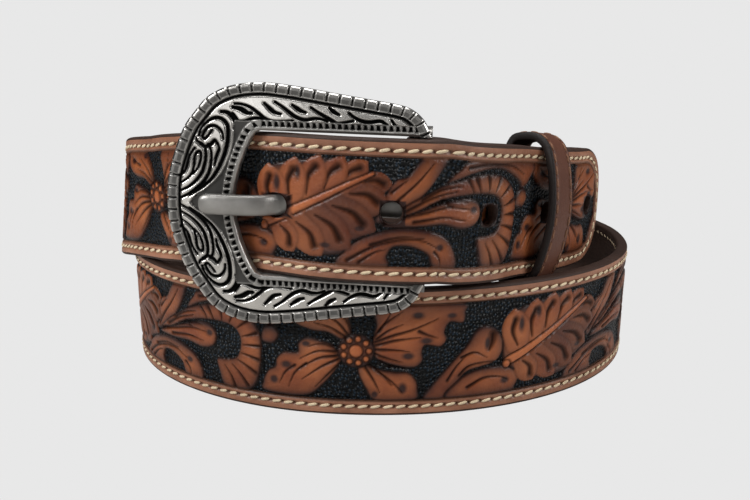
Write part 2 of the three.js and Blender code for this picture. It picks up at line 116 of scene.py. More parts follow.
PRONG_WIDTH = 5.5
PRONG_THICKNESS = 3.0
PRONG_TIP = 3.0
PRONG_PAST_WINDOW = 8.3
PRONG_CORNER = 0.72
EYE_WALL = 1.5

KEEPER_WIDTH = 10.5
KEEPER_THICKNESS = 2.4
KEEPER_FROM_BAR = 49.0
KEEPER_BULGE = 4.5
KEEPER_HEADROOM = 1.8
KEEPER_ROUND = 0.7
KEEPER_ROW_INSET = 1.6
KEEPER_STITCH_PITCH = 3.6

# Where the upper turn leans in at the left, its shares there, and its slope
LEAN_ANGLES = (850, 868, 888, 916, 930, 942)
LEAN_SHARES = (0, 0.35, 1, 1, 0.35, 0)
LEAN_SLOPE = 0.12
# Angle round the coil, layer pitches outside the ellipse, lift in shares of the turn lift
COIL_ROWS = np.array([
    (265, 0.82, 1.016), (277.8, 0.86, 1), (281, 0.68, 0.996), (286, 0.24, 0.973), (293.2, -0.74, 0.945),
    (304.8, -2.48, 0.91), (315.4, -3.5, 0.87), (325.2, -3.95, 0.845), (335.6, -4.2, 0.825),
    (346.3, -3.98, 0.79), (360, -3.6, 0.72), (405, -2.65, 0.5), (450, -1.88, 0.26), (495, -1.2, 0.07),
    (530, -0.5, 0), (554, 0, 0), (600, 0.05, 0), (630, -0.07, 0), (680, 0, 0), (712, 0.05, 0),
    (730, 0.35, 0.01), (765, 0.5, 0.14), (810, 0.35, 0.39), (855, 0.45, 0.65), (897, 0.98, 0.8),
    (912, 1.1, 0.85), (922, 0.7, 0.91), (932, 0.12, 0.945), (940.5, 0.16, 0.98), (949.2, 0.27, 1.003),
    (957.7, 0.52, 1.0245), (963.2, 0.79, 1.031), (969.3, 1.2, 1.032), (975.5, 1.56, 1.0265),
    (981.4, 1.76, 1.0192), (987.1, 1.82, 1.0122), (997.8, 1.86, 0.999), (1001, 1.68, 0.995),
    (1006, 1.24, 0.972), (1013.2, 0.3, 0.945), (1024.8, -1.45, 0.91), (1035.4, -2.5, 0.87),
    (1045.2, -2.95, 0.845), (1055.6, -3.16, 0.825), (1070, -2.7, 0.82), (1080, -2.4, 0.82),
])
# Upper half of the frame's outline, of its window's left end and of the keeper, in shares
OUTLINE_ROWS = [
    (0.974, 0.637), (0.923, 0.738), (0.837, 0.817), (0.736, 0.854), (0.536, 0.887), (0.249, 0.933),
    (-0.037, 0.979), (-0.281, 1), (-0.499, 0.963), (-0.662, 0.872), (-0.774, 0.729), (-0.854, 0.601),
    (-0.926, 0.419), (-0.986, 0.204), (-1, 0),
]
WINDOW_ROWS = [(0.56, 1), (0.64, 0.97), (0.7, 0.9), (0.79, 0.74), (0.89, 0.51), (0.965, 0.256), (1, 0)]
KEEPER_ROWS = [
    (1, 0), (0.93, 0.35), (0.77, 0.68), (0.56, 0.9), (0.2, 1), (-0.35, 0.985), (-0.5, 0.93), (-0.545, 0.8),
    (-0.55, 0),
]
# Engraved grooves of the frame's upper half, mirrored below: half width, then points
FRAME_GROOVES = [
    (0.42, [(-31.6, 6.8), (-30.2, 7.7), (-29.3, 9.4), (-28.8, 11.4), (-27.9, 13.1), (-27, 14.3)]),
    (0.36, [(-31, 5), (-29.2, 6.2), (-27.9, 7.8), (-27.3, 10), (-27.1, 12), (-26.5, 13.1), (-25.7, 13.4),
         (-25.4, 12.6), (-25.6, 10.9), (-26.4, 9), (-27.7, 7.4)]),
    (0.42, [(-31.2, 2.8), (-28.8, 4.1), (-26.7, 5.9), (-25.1, 8.2), (-24.4, 10.4), (-24.1, 12.6),
         (-24.3, 14.3), (-24.9, 15.4), (-26.2, 16), (-26.6, 16.9)]),
    (0.42, [(-31.1, 1), (-28.8, 2.2), (-26.3, 4.1), (-24.7, 5.7), (-23.4, 7.9), (-22.9, 9.9), (-22.6, 12.1),
         (-22.8, 14.1), (-23.5, 15.4)]),
    (0.4, [(-20.9, 15.8), (-20.5, 14.4), (-21, 13), (-21.5, 11.6), (-21.8, 9.9)]),
    (0.5, [(-28.8, 1.8), (-26, 3.5), (-23.3, 5.7), (-21.7, 7.7), (-20.4, 10), (-19.1, 13.1), (-18.4, 15.6),
         (-18.1, 17.9), (-18.2, 20.4), (-19.2, 22), (-20.9, 22.6), (-22.5, 22.1), (-24.1, 20.8),
         (-25.3, 19.3), (-25.8, 17.6)]),
    (0.4, [(-19.4, 16.8), (-19.6, 18.4), (-20.5, 19.7), (-21.8, 20.3), (-23.3, 19.9), (-24.3, 18.7),
         (-24.9, 17.3), (-24.3, 16.8), (-23.2, 17.8), (-22.3, 19.1)]),
    (0.45, [(-25.6, 15.4), (-24.2, 14.7), (-22.6, 15.5), (-21.6, 16.5), (-20.9, 15.5)]),
    (0.4, [(-27.9, 0.6), (-26.3, 1.9), (-24.6, 2.9)]),
    (0.6, [(-16.7, 25.7), (-14.8, 25.3), (-13.1, 24.3), (-11.9, 24.2)]),
    (0.42, [(-16.3, 26.7), (-14.3, 26.6), (-12.1, 25.8), (-10.1, 24.3), (-8.4, 22.9), (-6.4, 22.2),
         (-3.6, 22.3), (-1.1, 22.6)]), (0.5, [(-8.5, 27.1), (-7.1, 25.7), (-5.9, 24.7), (-4.3, 24.3)]),
    (0.45, [(-16.8, 24), (-15.9, 22.8), (-15.3, 21.8), (-13.6, 21.9), (-11.7, 22.7), (-9.8, 22.9),
         (-8.6, 22.4)]), (0.55, [(-19.8, 24.3), (-18.4, 24.2), (-17, 23.2), (-16.2, 21.5), (-16.5, 19.7)]),
    (0.45, [(-5.8, 27.6), (-3.8, 26.3), (-2, 24.8), (-0.3, 23.6), (1.9, 22.9), (4.4, 23.4), (6.3, 23.3),
         (7.8, 22.7)]), (0.5, [(-1.3, 26.9), (0.7, 25.5), (2.1, 25)]),
    (0.45, [(3.5, 26.4), (5.4, 25.1), (7.2, 24), (8.9, 23), (10.3, 22.2), (11.9, 22.5), (14.4, 23.2)]),
    (0.5, [(8.2, 26.6), (9.3, 25.5), (10.7, 24.7)]),
    (0.45, [(13.2, 25.3), (14.9, 24), (16.9, 23.1), (18.9, 23), (21.3, 23.4), (22.8, 22.6), (23.8, 21.8)]),
    (0.45, [(24.1, 23.8), (25.3, 22.2), (27.3, 21.4), (29.8, 20.9)]),
]
# Right edge of the left limb's scroll: height above the middle, then place along the frame
SIDE_BAND_EDGE = np.array([
    (0, -29.6), (1.8, -27.6), (3.5, -25.4), (5.7, -22.9), (7.7, -21.2), (10, -19.9), (13.1, -18.6),
    (15.6, -17.9), (17.9, -17.6), (20.4, -17.5), (22, -17.2), (24, -16),
])
# Flower, leaf and scroll outlines of one repeat, along the strap and up from its middle: tone, points
LOBES = [
    (0.35, [(0.5, 3.5), (-4, 6), (-9, 6.6), (-14, 8.5), (-17, 12), (-16, 14.6), (-3, 14.6), (1.5, 11),
         (2.5, 5.5)]),
    (0.3, [(8.5, 3), (9.5, 8), (11, 14.6), (33.5, 14.4), (35, 11.5), (34.3, 8.5), (30.5, 8.8), (29, 6.2),
         (29.6, 3.8), (27.7, 1.7), (23.5, 2.3), (22.6, 0.2), (22.8, -2.2), (20.5, -4.3), (15.5, -3.8),
         (9.5, -1.4)]),
    (0.3, [(-0.6, -1.2), (-3, 2.4), (-5.6, 3.4), (-10.1, 4.4), (-12.9, 2.4), (-13.2, -0.3), (-17.3, -0.7),
         (-19.6, -2.9), (-20.1, -5.4), (-22.3, -6.8), (-24, -10.1), (-23.6, -13.4), (-11.2, -13.6),
         (-5.6, -9.6), (-1.2, -3.7)]),
    (0.3, [(6.5, -3.3), (10, -4.6), (15, -5.6), (18.6, -5.8), (20.8, -8), (21.4, -11), (20.6, -14.2),
         (9.5, -14.4), (6.5, -10.5), (4.2, -4.8)]),
    (0.35, [(23, -14), (25.5, -10), (29, -6), (33, -1.5), (36, 2), (38.2, 5.6), (41, 7), (44.2, 6), (46.6, 3),
         (47.2, 0), (46, -3), (44, -4.6), (40, -5.6), (36, -6.5), (33.5, -9), (31, -12), (29.5, -14.4)]),
    (0.4, [(30, -14.4), (33, -9.5), (37, -6.8), (42, -5.8), (47, -6), (51, -7.5), (52.6, -10), (51.5, -13),
         (49, -14.4)]),
    (0.45, [(98, 7.6), (101, 11.6), (106, 14.4), (132, 14.6), (131.6, 9.4), (128.6, 6.8), (126, 9.4),
         (119, 12.2), (112, 12.4), (104, 10.4)]),
    (0.5, [(125.6, 2.4), (126.8, 6.4), (129.6, 7), (131.2, 4.8), (130.2, 2.2), (128.2, 1.4)]),
    (0.45, [(70, -14.4), (74, -8.8), (79, -5.8), (86, -4), (93, -4.2), (99.5, -6.2), (103, -10),
         (103.4, -14.4), (96, -14.4), (94, -10.8), (89.5, -8.8), (85, -9), (83.4, -11.5), (83, -14.4)]),
    (0.4, [(80, -2.4), (82.5, 4.5), (85, 8.5), (88, 9.6), (92, 14.4), (98, 14.6), (96, 9.5), (92.5, 5),
         (88, 1.4), (84, -2)]),
    (0.35, [(83, -2), (88, 2), (94, 5.4), (99, 8), (105.5, 10.2), (111.5, 11.2), (118, 10.6), (122.8, 8),
         (125.4, 3.6), (125.6, -1), (125, -7), (123.4, -12), (120, -14.4), (112.5, -14.4), (110.4, -10),
         (109.8, -6.2), (113.4, -5.6), (117, -4.4), (118.6, -1), (118.4, 2.6), (116, 5), (111, 5.8),
         (104, 5.2), (97, 3.4), (90, 0.2)]),
    (0.35, [(82, -3.4), (90, 0), (98, 2.8), (104.5, 4.6), (108.6, 3.6), (110, 0.8), (108.5, -2.4),
         (104, -3.8), (98, -3), (90, -3.6)]),
]
# Leaf lobes from the leaf's tip to its base: tone, root, tip, width
LEAF_LOBES = [
    (0.6, (75, 7.5), (84, 7.6), 5), (0.65, (71.5, 5), (83.4, 2), 6.4), (0.4, (70, 6), (77.5, 13), 5.4),
    (0.7, (67, 2.2), (80, -4.8), 7), (0.35, (65.5, 4), (71.5, 13.8), 5.8),
    (0.65, (62.5, -0.2), (73.5, -9.8), 7.2), (0.35, (61, 2), (65, 14), 6.2),
    (0.5, (57.5, -2.6), (66, -12.2), 7), (0.3, (56.5, 0), (58.2, 13), 6.8),
    (0.45, (53, -4.2), (57.8, -12), 6.4), (0.3, (52, -2), (50.4, 10.8), 7.6),
]
# Knife cuts: half width at the root, then points from the root to the fine end
CUTS = [
    (0.4, [(-1.2, 1.6), (-6, 2.6), (-10, 1.6)]), (0.42, [(-1.4, 0.4), (-7, 0.4), (-12.5, -2.2)]),
    (0.45, [(-1.4, -0.8), (-7, -1.8), (-13, -5.6)]), (0.42, [(-1.2, -1.8), (-6, -4.2), (-12, -8.5)]),
    (0.42, [(-0.6, -2.8), (-4, -6.2), (-8, -10.5)]), (0.36, [(-14, -4.4), (-17, -6.8), (-19, -10.6)]),
    (0.36, [(-10.5, -3.6), (-14, -6.6), (-16, -11)]), (0.42, [(1.2, 4.6), (-3, 7.5), (-8, 9)]),
    (0.42, [(1.8, 5.2), (-1, 9), (-5.5, 12.4)]), (0.42, [(2.6, 5.8), (1.4, 9.5), (-1, 12.8)]),
    (0.36, [(-6, 10.2), (-10, 11.4), (-13, 13.2)]), (0.42, [(8.6, 4.6), (12, 9), (17, 12.6)]),
    (0.45, [(9, 3.4), (14, 5.4), (20, 7.2), (27, 10.2)]), (0.45, [(9.3, 2.5), (15, 4), (22, 4.8)]),
    (0.42, [(9.4, 1.2), (14, 1.2), (19, 0.6)]), (0.4, [(9, 0), (13, -1.4), (17, -2.6)]),
    (0.42, [(9.6, 4.4), (13, 7), (17, 8.8)]), (0.42, [(21.6, 6.6), (24, 5.4), (27, 4.4)]),
    (0.36, [(10.2, 6.4), (13, 11), (14, 13.4)]), (0.42, [(7.4, -3.4), (11, -6.2), (14, -9.6)]),
    (0.42, [(6.4, -4), (8.8, -8), (10.5, -11.8)]), (0.7, [(10.6, -2.6), (13.8, -4), (19.4, -5)]),
    (0.4, [(9, -4.6), (14, -8.5), (17, -12)]), (1.1, [(43.6, 4.2), (43.4, 1.6), (42.6, -0.6)]),
    (0.4, [(34, -2), (38, -0.8), (42, -2.8)]), (0.4, [(33.5, -7.5), (36, -5), (40, -4.2), (46, -4.2)]),
    (0.4, [(30, -8.8), (32.6, -4.6), (36, -1.2)]), (0.5, [(36, -11.4), (41, -9), (46, -9.2), (49, -10.6)]),
    (0.5, [(73, -13), (79, -9.4), (86, -7.2), (92, -7), (96.6, -9)]),
    (0.45, [(76, -13.4), (80, -10.6), (83, -9.6)]), (0.4, [(96, -10.2), (98, -12), (98.6, -14)]),
    (0.5, [(82, -0.6), (86, 3.6), (90.5, 8), (94.6, 13)]), (0.4, [(84, 5.4), (86.6, 7.6), (88, 8.6)]),
    (0.5, [(84, -1.8), (92, 0), (100, 1.8), (106, 1.6)]), (0.45, [(90, -2.2), (98, -1), (105, -1.4)]),
    (0.4, [(94, 2), (100, 3.6), (105, 3.6)]), (0.55, [(88, 0.6), (94, 3.8), (101, 6)]),
    (0.5, [(92, 3.6), (97, 6.2), (102.6, 7.6)]), (0.5, [(79, -8.6), (86, -6.4), (93, -6.4)]),
    (0.5, [(104.4, 9.2), (106, 7.4), (106.8, 5.8)]),
    (0.5, [(104, 12.4), (112, 13.6), (122, 13.4), (129, 11)]),
    (0.6, [(107.4, 9.6), (108.6, 7.6), (109.4, 6)]), (0.6, [(112, 10.2), (112.4, 8), (112.4, 6.2)]),
    (0.6, [(117, 9.8), (116, 7.8), (115.2, 6.2)]), (0.6, [(121.6, 7.6), (119.4, 6), (117.8, 4.8)]),
    (0.6, [(124.2, 4), (121.6, 3), (119.4, 2.4)]), (0.6, [(125.2, 0), (122.4, 0), (119.6, -0.2)]),
    (0.6, [(124.6, -4.2), (121.8, -3.4), (118.8, -2.8)]), (0.6, [(123.6, -8.4), (120.6, -6.6), (117.4, -5)]),
    (0.55, [(120.8, -12.8), (118.4, -9.6), (115.6, -6.8)]),
    (0.5, [(116.4, -14), (115, -10.6), (112.8, -7.6)]), (0.5, [(97.4, 3.4), (99, 2.4), (100.6, 2.2)]),
]
# The leaf's whole blade: tone, then points
LEAF_BLADE = (0.5, [
    (47.5, -4.5), (47, 0), (47.4, 5), (49.5, 9), (53, 11.2), (57, 11.8), (61, 12.8), (66, 13.4), (71, 12.8),
    (75, 11.6), (78.5, 9.2), (81.5, 6), (82, 3), (81, -0.5), (78, -2), (78.6, -5), (75.5, -7.2), (72, -8.5),
    (71.8, -11), (68, -12), (63, -11.8), (58, -11.2), (54, -9.5), (50, -7),
])
# Burnished dents: place along and across, half length, half width
DENTS = [
    (21.3, 11.3, 2.6, 1.6), (23.8, 3.6, 2.6, 1.5), (18.6, -0.8, 2.6, 1.6), (31, 10.8, 2.2, 1.3),
    (17, -10.6, 1.8, 2.4), (9, -12.4, 1.6, 1.8), (-16.6, -4.4, 2.4, 1.6), (-10.6, 2.4, 2.2, 1.3),
    (-20.6, -9.4, 2, 2), (-11, 11.6, 2.6, 1.6), (-2, 13, 2, 1.4), (42, 1.6, 1.3, 3), (48, -10.6, 2, 1.6),
    (53, 6.2, 1.3, 3.2), (59, 9.4, 1.2, 2.6), (67, -9.4, 2.6, 1.3), (76, -4.4, 2.6, 1.3),
    (107.4, 1.6, 2, 1.6), (98, -9, 2.2, 1.5),
]
# The leaf's stem and the middle of the flower
MIDRIB = [(49, -4.6), (54.4, -2.4), (60, 0.4), (66, 3.4), (72.4, 6.8), (79, 10)]
FLOWER_CENTRE = (3.8, 0.8)

# Foot of the wall and ring at the outline's front edge: distance out, height, darkness
WALL_RINGS = ((0, 1.7, 0.25), (0, 0.4, 0.5), (-0.35, 0, 0.6))
# Places of the outline and of the window's edge that the frame's cross sections join
FRAME_PAIRS = (((34.9, 19.5), (34.9, 19.5)), ((31.5, 25.2), (32.8, 19.5)), ((29.2, 26.8), (29.6, 19.5)),
               ((8.7, 30.6), (8.2, 19.5)), ((-9.8, 32.8), (-7, 19.5)), ((-19, 30.8), (-11.2, 19.5)),
               ((-24.5, 27), (-12.8, 18.6)), ((-29.8, 19.7), (-14.3, 14.5)), ((-34.9, 0), (-17.3, 0)))
# Width of a leaf lobe along it, as shares of its length and of its greatest width
LEAF_PROFILE = ((0, 0.3), (0.3, 0.46), (0.6, 0.5), (0.84, 0.34), (0.97, 0.12))
# Lights: place, side in metres, power in watts
LIGHTS = {
    "key_left": ((-0.36, -0.3, 0.34), 0.2, 2.1),
    "glint_left": ((-0.17, -0.42, 0.07), 0.13, 0.075),
    "glint_upper": ((-0.03, -0.46, 0.115), 0.1, 0.035),
    "fill_right": ((0.42, -0.22, 0.2), 0.2, 1),
    "top": ((0, -0.02, 0.5), 0.35, 1.9),
}


class Finish(Enum):
    """Names of the record's material slots."""

    STRAP = "strap_leather"
    KEEPER = "keeper_leather"
    SILVER = "antique_silver"
    STEEL = "dark_steel"


def blend(first: np.ndarray, second: np.ndarray, share: np.ndarray) -> np.ndarray:
    """First value where the share is 0, second where it is 1."""
    return first * (1 - share) + second * share


def smoothstep(value: np.ndarray, low: float, high: float) -> np.ndarray:
    """Share from 0 at the low limit to 1 at the high one, with flat ends."""
    t = np.clip((value - low) / (high - low), 0, 1)
    return t * t * (3 - 2 * t)


def around(count: int) -> np.ndarray:
    """Evenly spaced angles of one full turn."""
    return np.linspace(0, 2 * np.pi, count, endpoint=False)


def smooth_curve(points: list, closed: bool = False, steps: int = 8) -> np.ndarray:
    """Catmull-Rom curve through points.

    Args:
        points: the points as pairs.
        closed: whether the last point joins the first.
        steps: samples in each span.

    Returns:
        The samples, one row each.
    """
    rows = np.array(points, float)
    if closed:
        padded = np.vstack([rows[-1:], rows, rows[:2]])
    else:
        padded = np.vstack([2 * rows[:1] - rows[1:2], rows, 2 * rows[-1:] - rows[-2:-1]])
    spans = len(padded) - 3
    t = np.linspace(0, 1, steps, endpoint=False)[None, :, None]
    a, b, c, d = (padded[k:k + spans][:, None, :] for k in range(4))
    square, cube = 2 * a - 5 * b + 4 * c - d, 3 * b - a - 3 * c + d
    samples = (0.5 * (2 * b + (c - a) * t + square * t ** 2 + cube * t ** 3)).reshape(-1, rows.shape[1])
    return samples if closed else np.vstack([samples, rows[-1:]])


def lengths_along(line: np.ndarray) -> np.ndarray:
    """Length from a line's first point to each of its points."""
    return np.concatenate([[0], np.cumsum(np.hypot(*np.diff(line, axis=0).T))])


def resampled(line: np.ndarray, count: int) -> np.ndarray:
    """Points at even spacing along a line."""
    length = lengths_along(line)
    return columns_at(np.linspace(0, length[-1], count), length, line)


def columns_at(at: np.ndarray, places: np.ndarray, table: np.ndarray) -> np.ndarray:
    """Linear values of all of a table's columns, on a new last axis."""
    return np.stack([np.interp(at, places, column) for column in table.T], axis=-1)


def polyline_distance(x: np.ndarray, y: np.ndarray, line: np.ndarray) -> tuple:
    """Distance from places to a polyline, and how far along it the closest point is.

    Args:
        x: first coordinates.
        y: second coordinates.
        line: the polyline's points.

    Returns:
        The distances and the lengths along the line, in the shape of x.
    """
    step = np.diff(line, axis=0)
    length = np.maximum(np.hypot(step[:, 0], step[:, 1]), 1e-9)
    before = np.concatenate([[0], np.cumsum(length)[:-1]])
    best = np.full(x.size, 1e9)
    along = np.zeros(x.size)
    px, py = x.ravel(), y.ravel()
    for (ax, ay), (sx, sy), size, passed in zip(line, step, length, before):
        dx, dy = px - ax, py - ay
        t = np.clip((dx * sx + dy * sy) / size ** 2, 0, 1)
        d = np.hypot(dx - t * sx, dy - t * sy)
        closer = d < best
        best[closer] = d[closer]
        along[closer] = passed + t[closer] * size
    return best.reshape(x.shape), along.reshape(x.shape)


def inside_outline(x: np.ndarray, y: np.ndarray, line: np.ndarray) -> np.ndarray:
    """Whether places are inside a closed outline, by counting the edges that a ray from them crosses.

    Args:
        x: first coordinates.
        y: second coordinates.
        line: the outline's points, without the first one repeated.

    Returns:
        True where the place is inside.
    """
    inside = np.zeros(x.shape, bool)
    for (ax, ay), (bx, by) in zip(line, np.roll(line, -1, axis=0)):
        if ay != by:
            inside ^= ((ay > y) != (by > y)) & (x < (bx - ax) * (y - ay) / (by - ay) + ax)
    return inside


def table_value(rows: np.ndarray, column: int, at: np.ndarray) -> np.ndarray:
    """Smooth values of a table's column that never pass its rows: cubic Hermite, harmonic mean slopes.

    Args:
        rows: the table, with its places in the first column.
        column: the column that is wanted.
        at: the places.

    Returns:
        The values.
    """
    place, value = rows[:, 0], rows[:, column]
    slope = np.diff(value) / np.diff(place)
    before, after = slope[:-1], slope[1:]
    same = before * after > 0
    tangent = np.zeros(len(value))
    tangent[0], tangent[-1] = slope[0], slope[-1]
    tangent[1:-1] = np.where(same, 2 * before * after / np.where(same, before + after, 1), 0)
    k = np.clip(np.searchsorted(place, at) - 1, 0, len(place) - 2)
    span = place[k + 1] - place[k]
    t = np.clip((at - place[k]) / span, 0, 1)
    return (value[k] * (2 * t ** 3 - 3 * t ** 2 + 1) + value[k + 1] * (3 * t ** 2 - 2 * t ** 3)
            + span * (tangent[k] * (t ** 3 - 2 * t ** 2 + t) + tangent[k + 1] * (t ** 3 - t ** 2)))


class CoilPath:
    """The strap's outer face along its middle line, from the heel bar to the tip."""

    def __init__(self) -> None:
        """Samples the path every quarter degree, with its normals and the directions across."""
        angles = BAR_ANGLE + np.arange(0, PATH_DEGREES + PATH_STEP / 2, PATH_STEP)
        self.points = self._face(angles)
        self.lengths = lengths_along(self.points[:, :2])
        tangents = self._face(angles + 1) - self._face(angles - 1)
        tangents /= np.linalg.norm(tangents, axis=1)[:, None]
        flat = np.hypot(tangents[:, 0], tangents[:, 1])
        self.normals = np.stack([tangents[:, 1] / flat, -tangents[:, 0] / flat, 0 * flat], axis=1)
        self.across = np.cross(self.normals, tangents)
        self.reach = float(self.lengths[-1])
        self.bar = float(np.interp(BAR_ANGLE + 720, angles, self.lengths))
        self.straight = self.reach - HALF_WIDTH
        self.lean_stops = np.interp(LEAN_ANGLES, angles, self.lengths)

    @staticmethod
    def _face(angles: np.ndarray) -> np.ndarray:
        """Points of the middle line: ellipse radius plus the layer pitches outside it, and the lift.

        Args:
            angles: degrees round the coil.

        Returns:
            Points in millimetres.
        """
        cosine, sine = np.cos(np.radians(angles)), np.sin(np.radians(angles))
        ellipse = COIL_HALF_LENGTH * COIL_HALF_DEPTH / np.hypot(COIL_HALF_DEPTH * cosine, COIL_HALF_LENGTH * sine)
        radius = ellipse + LAYER_PITCH * table_value(COIL_ROWS, 1, angles)
        bottom = np.maximum(0, TURN_LIFT * table_value(COIL_ROWS, 2, angles))
        return np.stack([radius * cosine + PART_SHIFT[0], radius * sine + PART_SHIFT[1],
                         bottom + HALF_WIDTH], axis=1)

    def normal_at(self, length: float) -> np.ndarray:
        """Outward normal at one length from the heel bar."""
        return columns_at(np.array([length]), self.lengths, self.normals)[0]

    def surface(self, length: np.ndarray, rise: np.ndarray, out: np.ndarray) -> np.ndarray:
        """Face point, moved up across the strap and out along the face's normal, with the upper turn's lean.

        Args:
            length: lengths from the heel bar.
            rise: distances up from the middle line.
            out: distances out of the face.

        Returns:
            Points in millimetres.
        """
        length, rise, out = np.broadcast_arrays(length, rise, out)
        lean = LEAN_SLOPE * np.interp(length, self.lean_stops, LEAN_SHARES) * (rise + HALF_WIDTH)
        middle, across, normal = (columns_at(length, self.lengths, table)
                                  for table in (self.points, self.across, self.normals))
        return middle + across * rise[..., None] + normal * (out - lean)[..., None]

    def edge_distance(self, length: np.ndarray, rise: np.ndarray) -> np.ndarray:
        """Distance in from the strap's cut edge, which is a half circle at the tip."""
        return HALF_WIDTH - np.hypot(np.maximum(length - self.straight, 0), rise)

    @staticmethod
    def thickness(length: np.ndarray) -> np.ndarray:
        """Full thickness, skived down towards the heel bar."""
        return SKIVED_THICKNESS + (STRAP_THICKNESS - SKIVED_THICKNESS) * smoothstep(length, 0, SKIVE_LENGTH)


class ToolingTile:
    """One repeat of the carved pattern, as fields on a fine grid: height, cover, line and shade."""

    REACH = 3.0
    EDGE_DROP = 0.25
    EDGE_FADE = 0.55
    PRESSED_DEPTH = 0.65
    PRESSED_FADE = 1.0
    BESIDE_FADE = 1.3
    OWN_FADE = 1.4
    MARK_WIDTH = 0.32
    CUT_DEPTH = 0.5
    RIB_HALF = 1.25
    RIB_TAPER = 0.85
    DOME = 0.25
    RING_WIDTH = 0.3
    UNDER_FLOWER = 4
    LEAF_WIDENED = 1.22
    CUTS_WIDENED = 1.6

    def __init__(self) -> None:
        """Starts with the pressed-down ground, then carves the motifs from the bottom to the top."""
        self.columns = int(round(TILE_PERIOD / TILE_STEP))
        self.rows = int(round(2 * TILE_HALF / TILE_STEP)) + 1
        shape = (self.rows, self.columns)
        self.height = np.full(shape, -GROUND_DEPTH)
        self.cover = np.zeros(shape)
        self.line = np.zeros(shape)
        self.shade = np.full(shape, 0.5)
        for tone, outline in LOBES[:self.UNDER_FLOWER]:
            self._lobe(outline, tone)
        self._flower_centre()
        for tone, outline in [*LOBES[self.UNDER_FLOWER:], LEAF_BLADE]:
            self._lobe(outline, tone)
        for tone, root, tip, width in LEAF_LOBES:
            self._leaf_lobe(tone, root, tip, width * self.LEAF_WIDENED)
        self._midrib()
        for width, points in CUTS:
            self._cut(points, width * self.CUTS_WIDENED)
        self._dot((48.4, -5.6), 1.2)
        for dent in DENTS:
            self._dent(np.array(dent[:2]), np.array(dent[2:]))

    def _window(self, low: np.ndarray, high: np.ndarray) -> tuple:
        """Grid places near a box, going round the repeat.

        Args:
            low: the box's lowest corner.
            high: the box's highest corner.

        Returns:
            The grid index, and the places' coordinates along and across.
        """
        first, last = int((low[0] - self.REACH) / TILE_STEP), int((high[0] + self.REACH) / TILE_STEP) + 1
        bottom = max(0, int((low[1] - self.REACH + TILE_HALF) / TILE_STEP))
        top = min(self.rows, int((high[1] + self.REACH + TILE_HALF) / TILE_STEP) + 1)
        along, across = np.arange(first, last), np.arange(bottom, top)
        x, y = np.meshgrid(along * TILE_STEP, across * TILE_STEP - TILE_HALF)
        return np.ix_(across, along % self.columns), x, y

    def _lay(self, index: tuple, share: np.ndarray, height: np.ndarray, shade: np.ndarray) -> None:
        """Lays a raised motif over what is there.

        Args:
            index: the grid places.
            share: how much of each place it covers.
            height: its height.
            shade: its shade.
        """
        self.height[index] = blend(self.height[index], height, share)
        self.shade[index] = blend(self.shade[index], shade, share)
        self.cover[index] = np.maximum(self.cover[index], share)

    def _score(self, index: tuple, share: np.ndarray, mark: np.ndarray, depth: float) -> None:
        """Cuts a dark line round a motif.

        Args:
            index: the grid places.
            share: how much of each place the motif covers, which hides older lines.
            mark: the line's strength.
            depth: its depth.
        """
        self.line[index] = np.maximum(self.line[index] * (1 - share), mark)
        self.height[index] = self.height[index] - depth * mark

    def _lobe(self, points: list, tone: float, edge: float = 1.0) -> None:
        """Raises a lobe: flat inside with a soft edge, and the ground beside it pressed down.

        Args:
            points: its outline.
            tone: how dark it is, from 0 to 1.
            edge: how strongly its outline is cut.
        """
        outline = smooth_curve(points, closed=True)
        index, x, y = self._window(outline.min(axis=0), outline.max(axis=0))
        distance, _ = polyline_distance(x, y, np.vstack([outline, outline[:1]]))
        signed = np.where(inside_outline(x, y, outline), distance, -distance)
        share = np.clip(signed / TILE_STEP + 0.5, 0, 1)
        pressed = -self.PRESSED_DEPTH * edge * np.exp(-distance / self.PRESSED_FADE)
        self.height[index] = np.minimum(self.height[index], pressed)
        self.shade[index] = np.maximum(self.shade[index], edge * np.exp(-distance / self.BESIDE_FADE))
        own = tone + (1 - tone) * np.exp(-distance / self.OWN_FADE) * 0.8 * edge
        spread = max(np.ptp(outline, axis=0)[1], 1)
        tip_side = np.clip((np.abs(y - outline[:, 1].mean()) / spread - 0.1) * 0.6, 0, 0.3)
        self._lay(index, share, -self.EDGE_DROP * np.exp(-distance / self.EDGE_FADE),
                  np.clip(own + tip_side * edge, 0, 1))
        self._score(index, share, 0.9 * edge * np.exp(-(distance / self.MARK_WIDTH) ** 2), 0)

    def _leaf_lobe(self, tone: float, root: tuple, tip: tuple, width: float) -> None:
        """Raises a pointed lobe of the leaf, with a drop-shaped cut along it.

        Args:
            tone: how dark it is.
            root: where it leaves the midrib.
            tip: its end.
            width: its greatest width.
        """
        root, tip = np.array(root, float), np.array(tip, float)
        axis = tip - root
        side = np.array([-axis[1], axis[0]]) / np.hypot(*axis)
        left = [root + axis * t + side * width * w for t, w in LEAF_PROFILE]
        right = [root + axis * t - side * width * w for t, w in reversed(LEAF_PROFILE)]
        self._lobe([*left, tip + axis * 0.02, *right], tone, 0.3)
        middle = root + axis * 0.5 + side * width * 0.14
        self._cut([root + axis * 0.76, middle, root + axis * 0.14], 1.5)

    def _cut(self, points: list, width: float) -> None:
        """Cuts a V that gets finer from its first point to its last.

        Args:
            points: the points of the cut.
            width: half its width at the root.
        """
        line = smooth_curve(points)
        index, x, y = self._window(line.min(axis=0), line.max(axis=0))
        distance, along = polyline_distance(x, y, line)
        share = along / max(along.max(), 1e-6)
        depth = np.clip(1 - distance / (width * (1 - 0.75 * share)), 0, 1)
        self.height[index] = self.height[index] - self.CUT_DEPTH * depth
        self.line[index] = np.maximum(self.line[index], depth ** 0.5)
        stain = 0.9 * np.exp(-distance / self.PRESSED_FADE) * (1 - 0.5 * share)
        self.shade[index] = np.maximum(self.shade[index], stain)

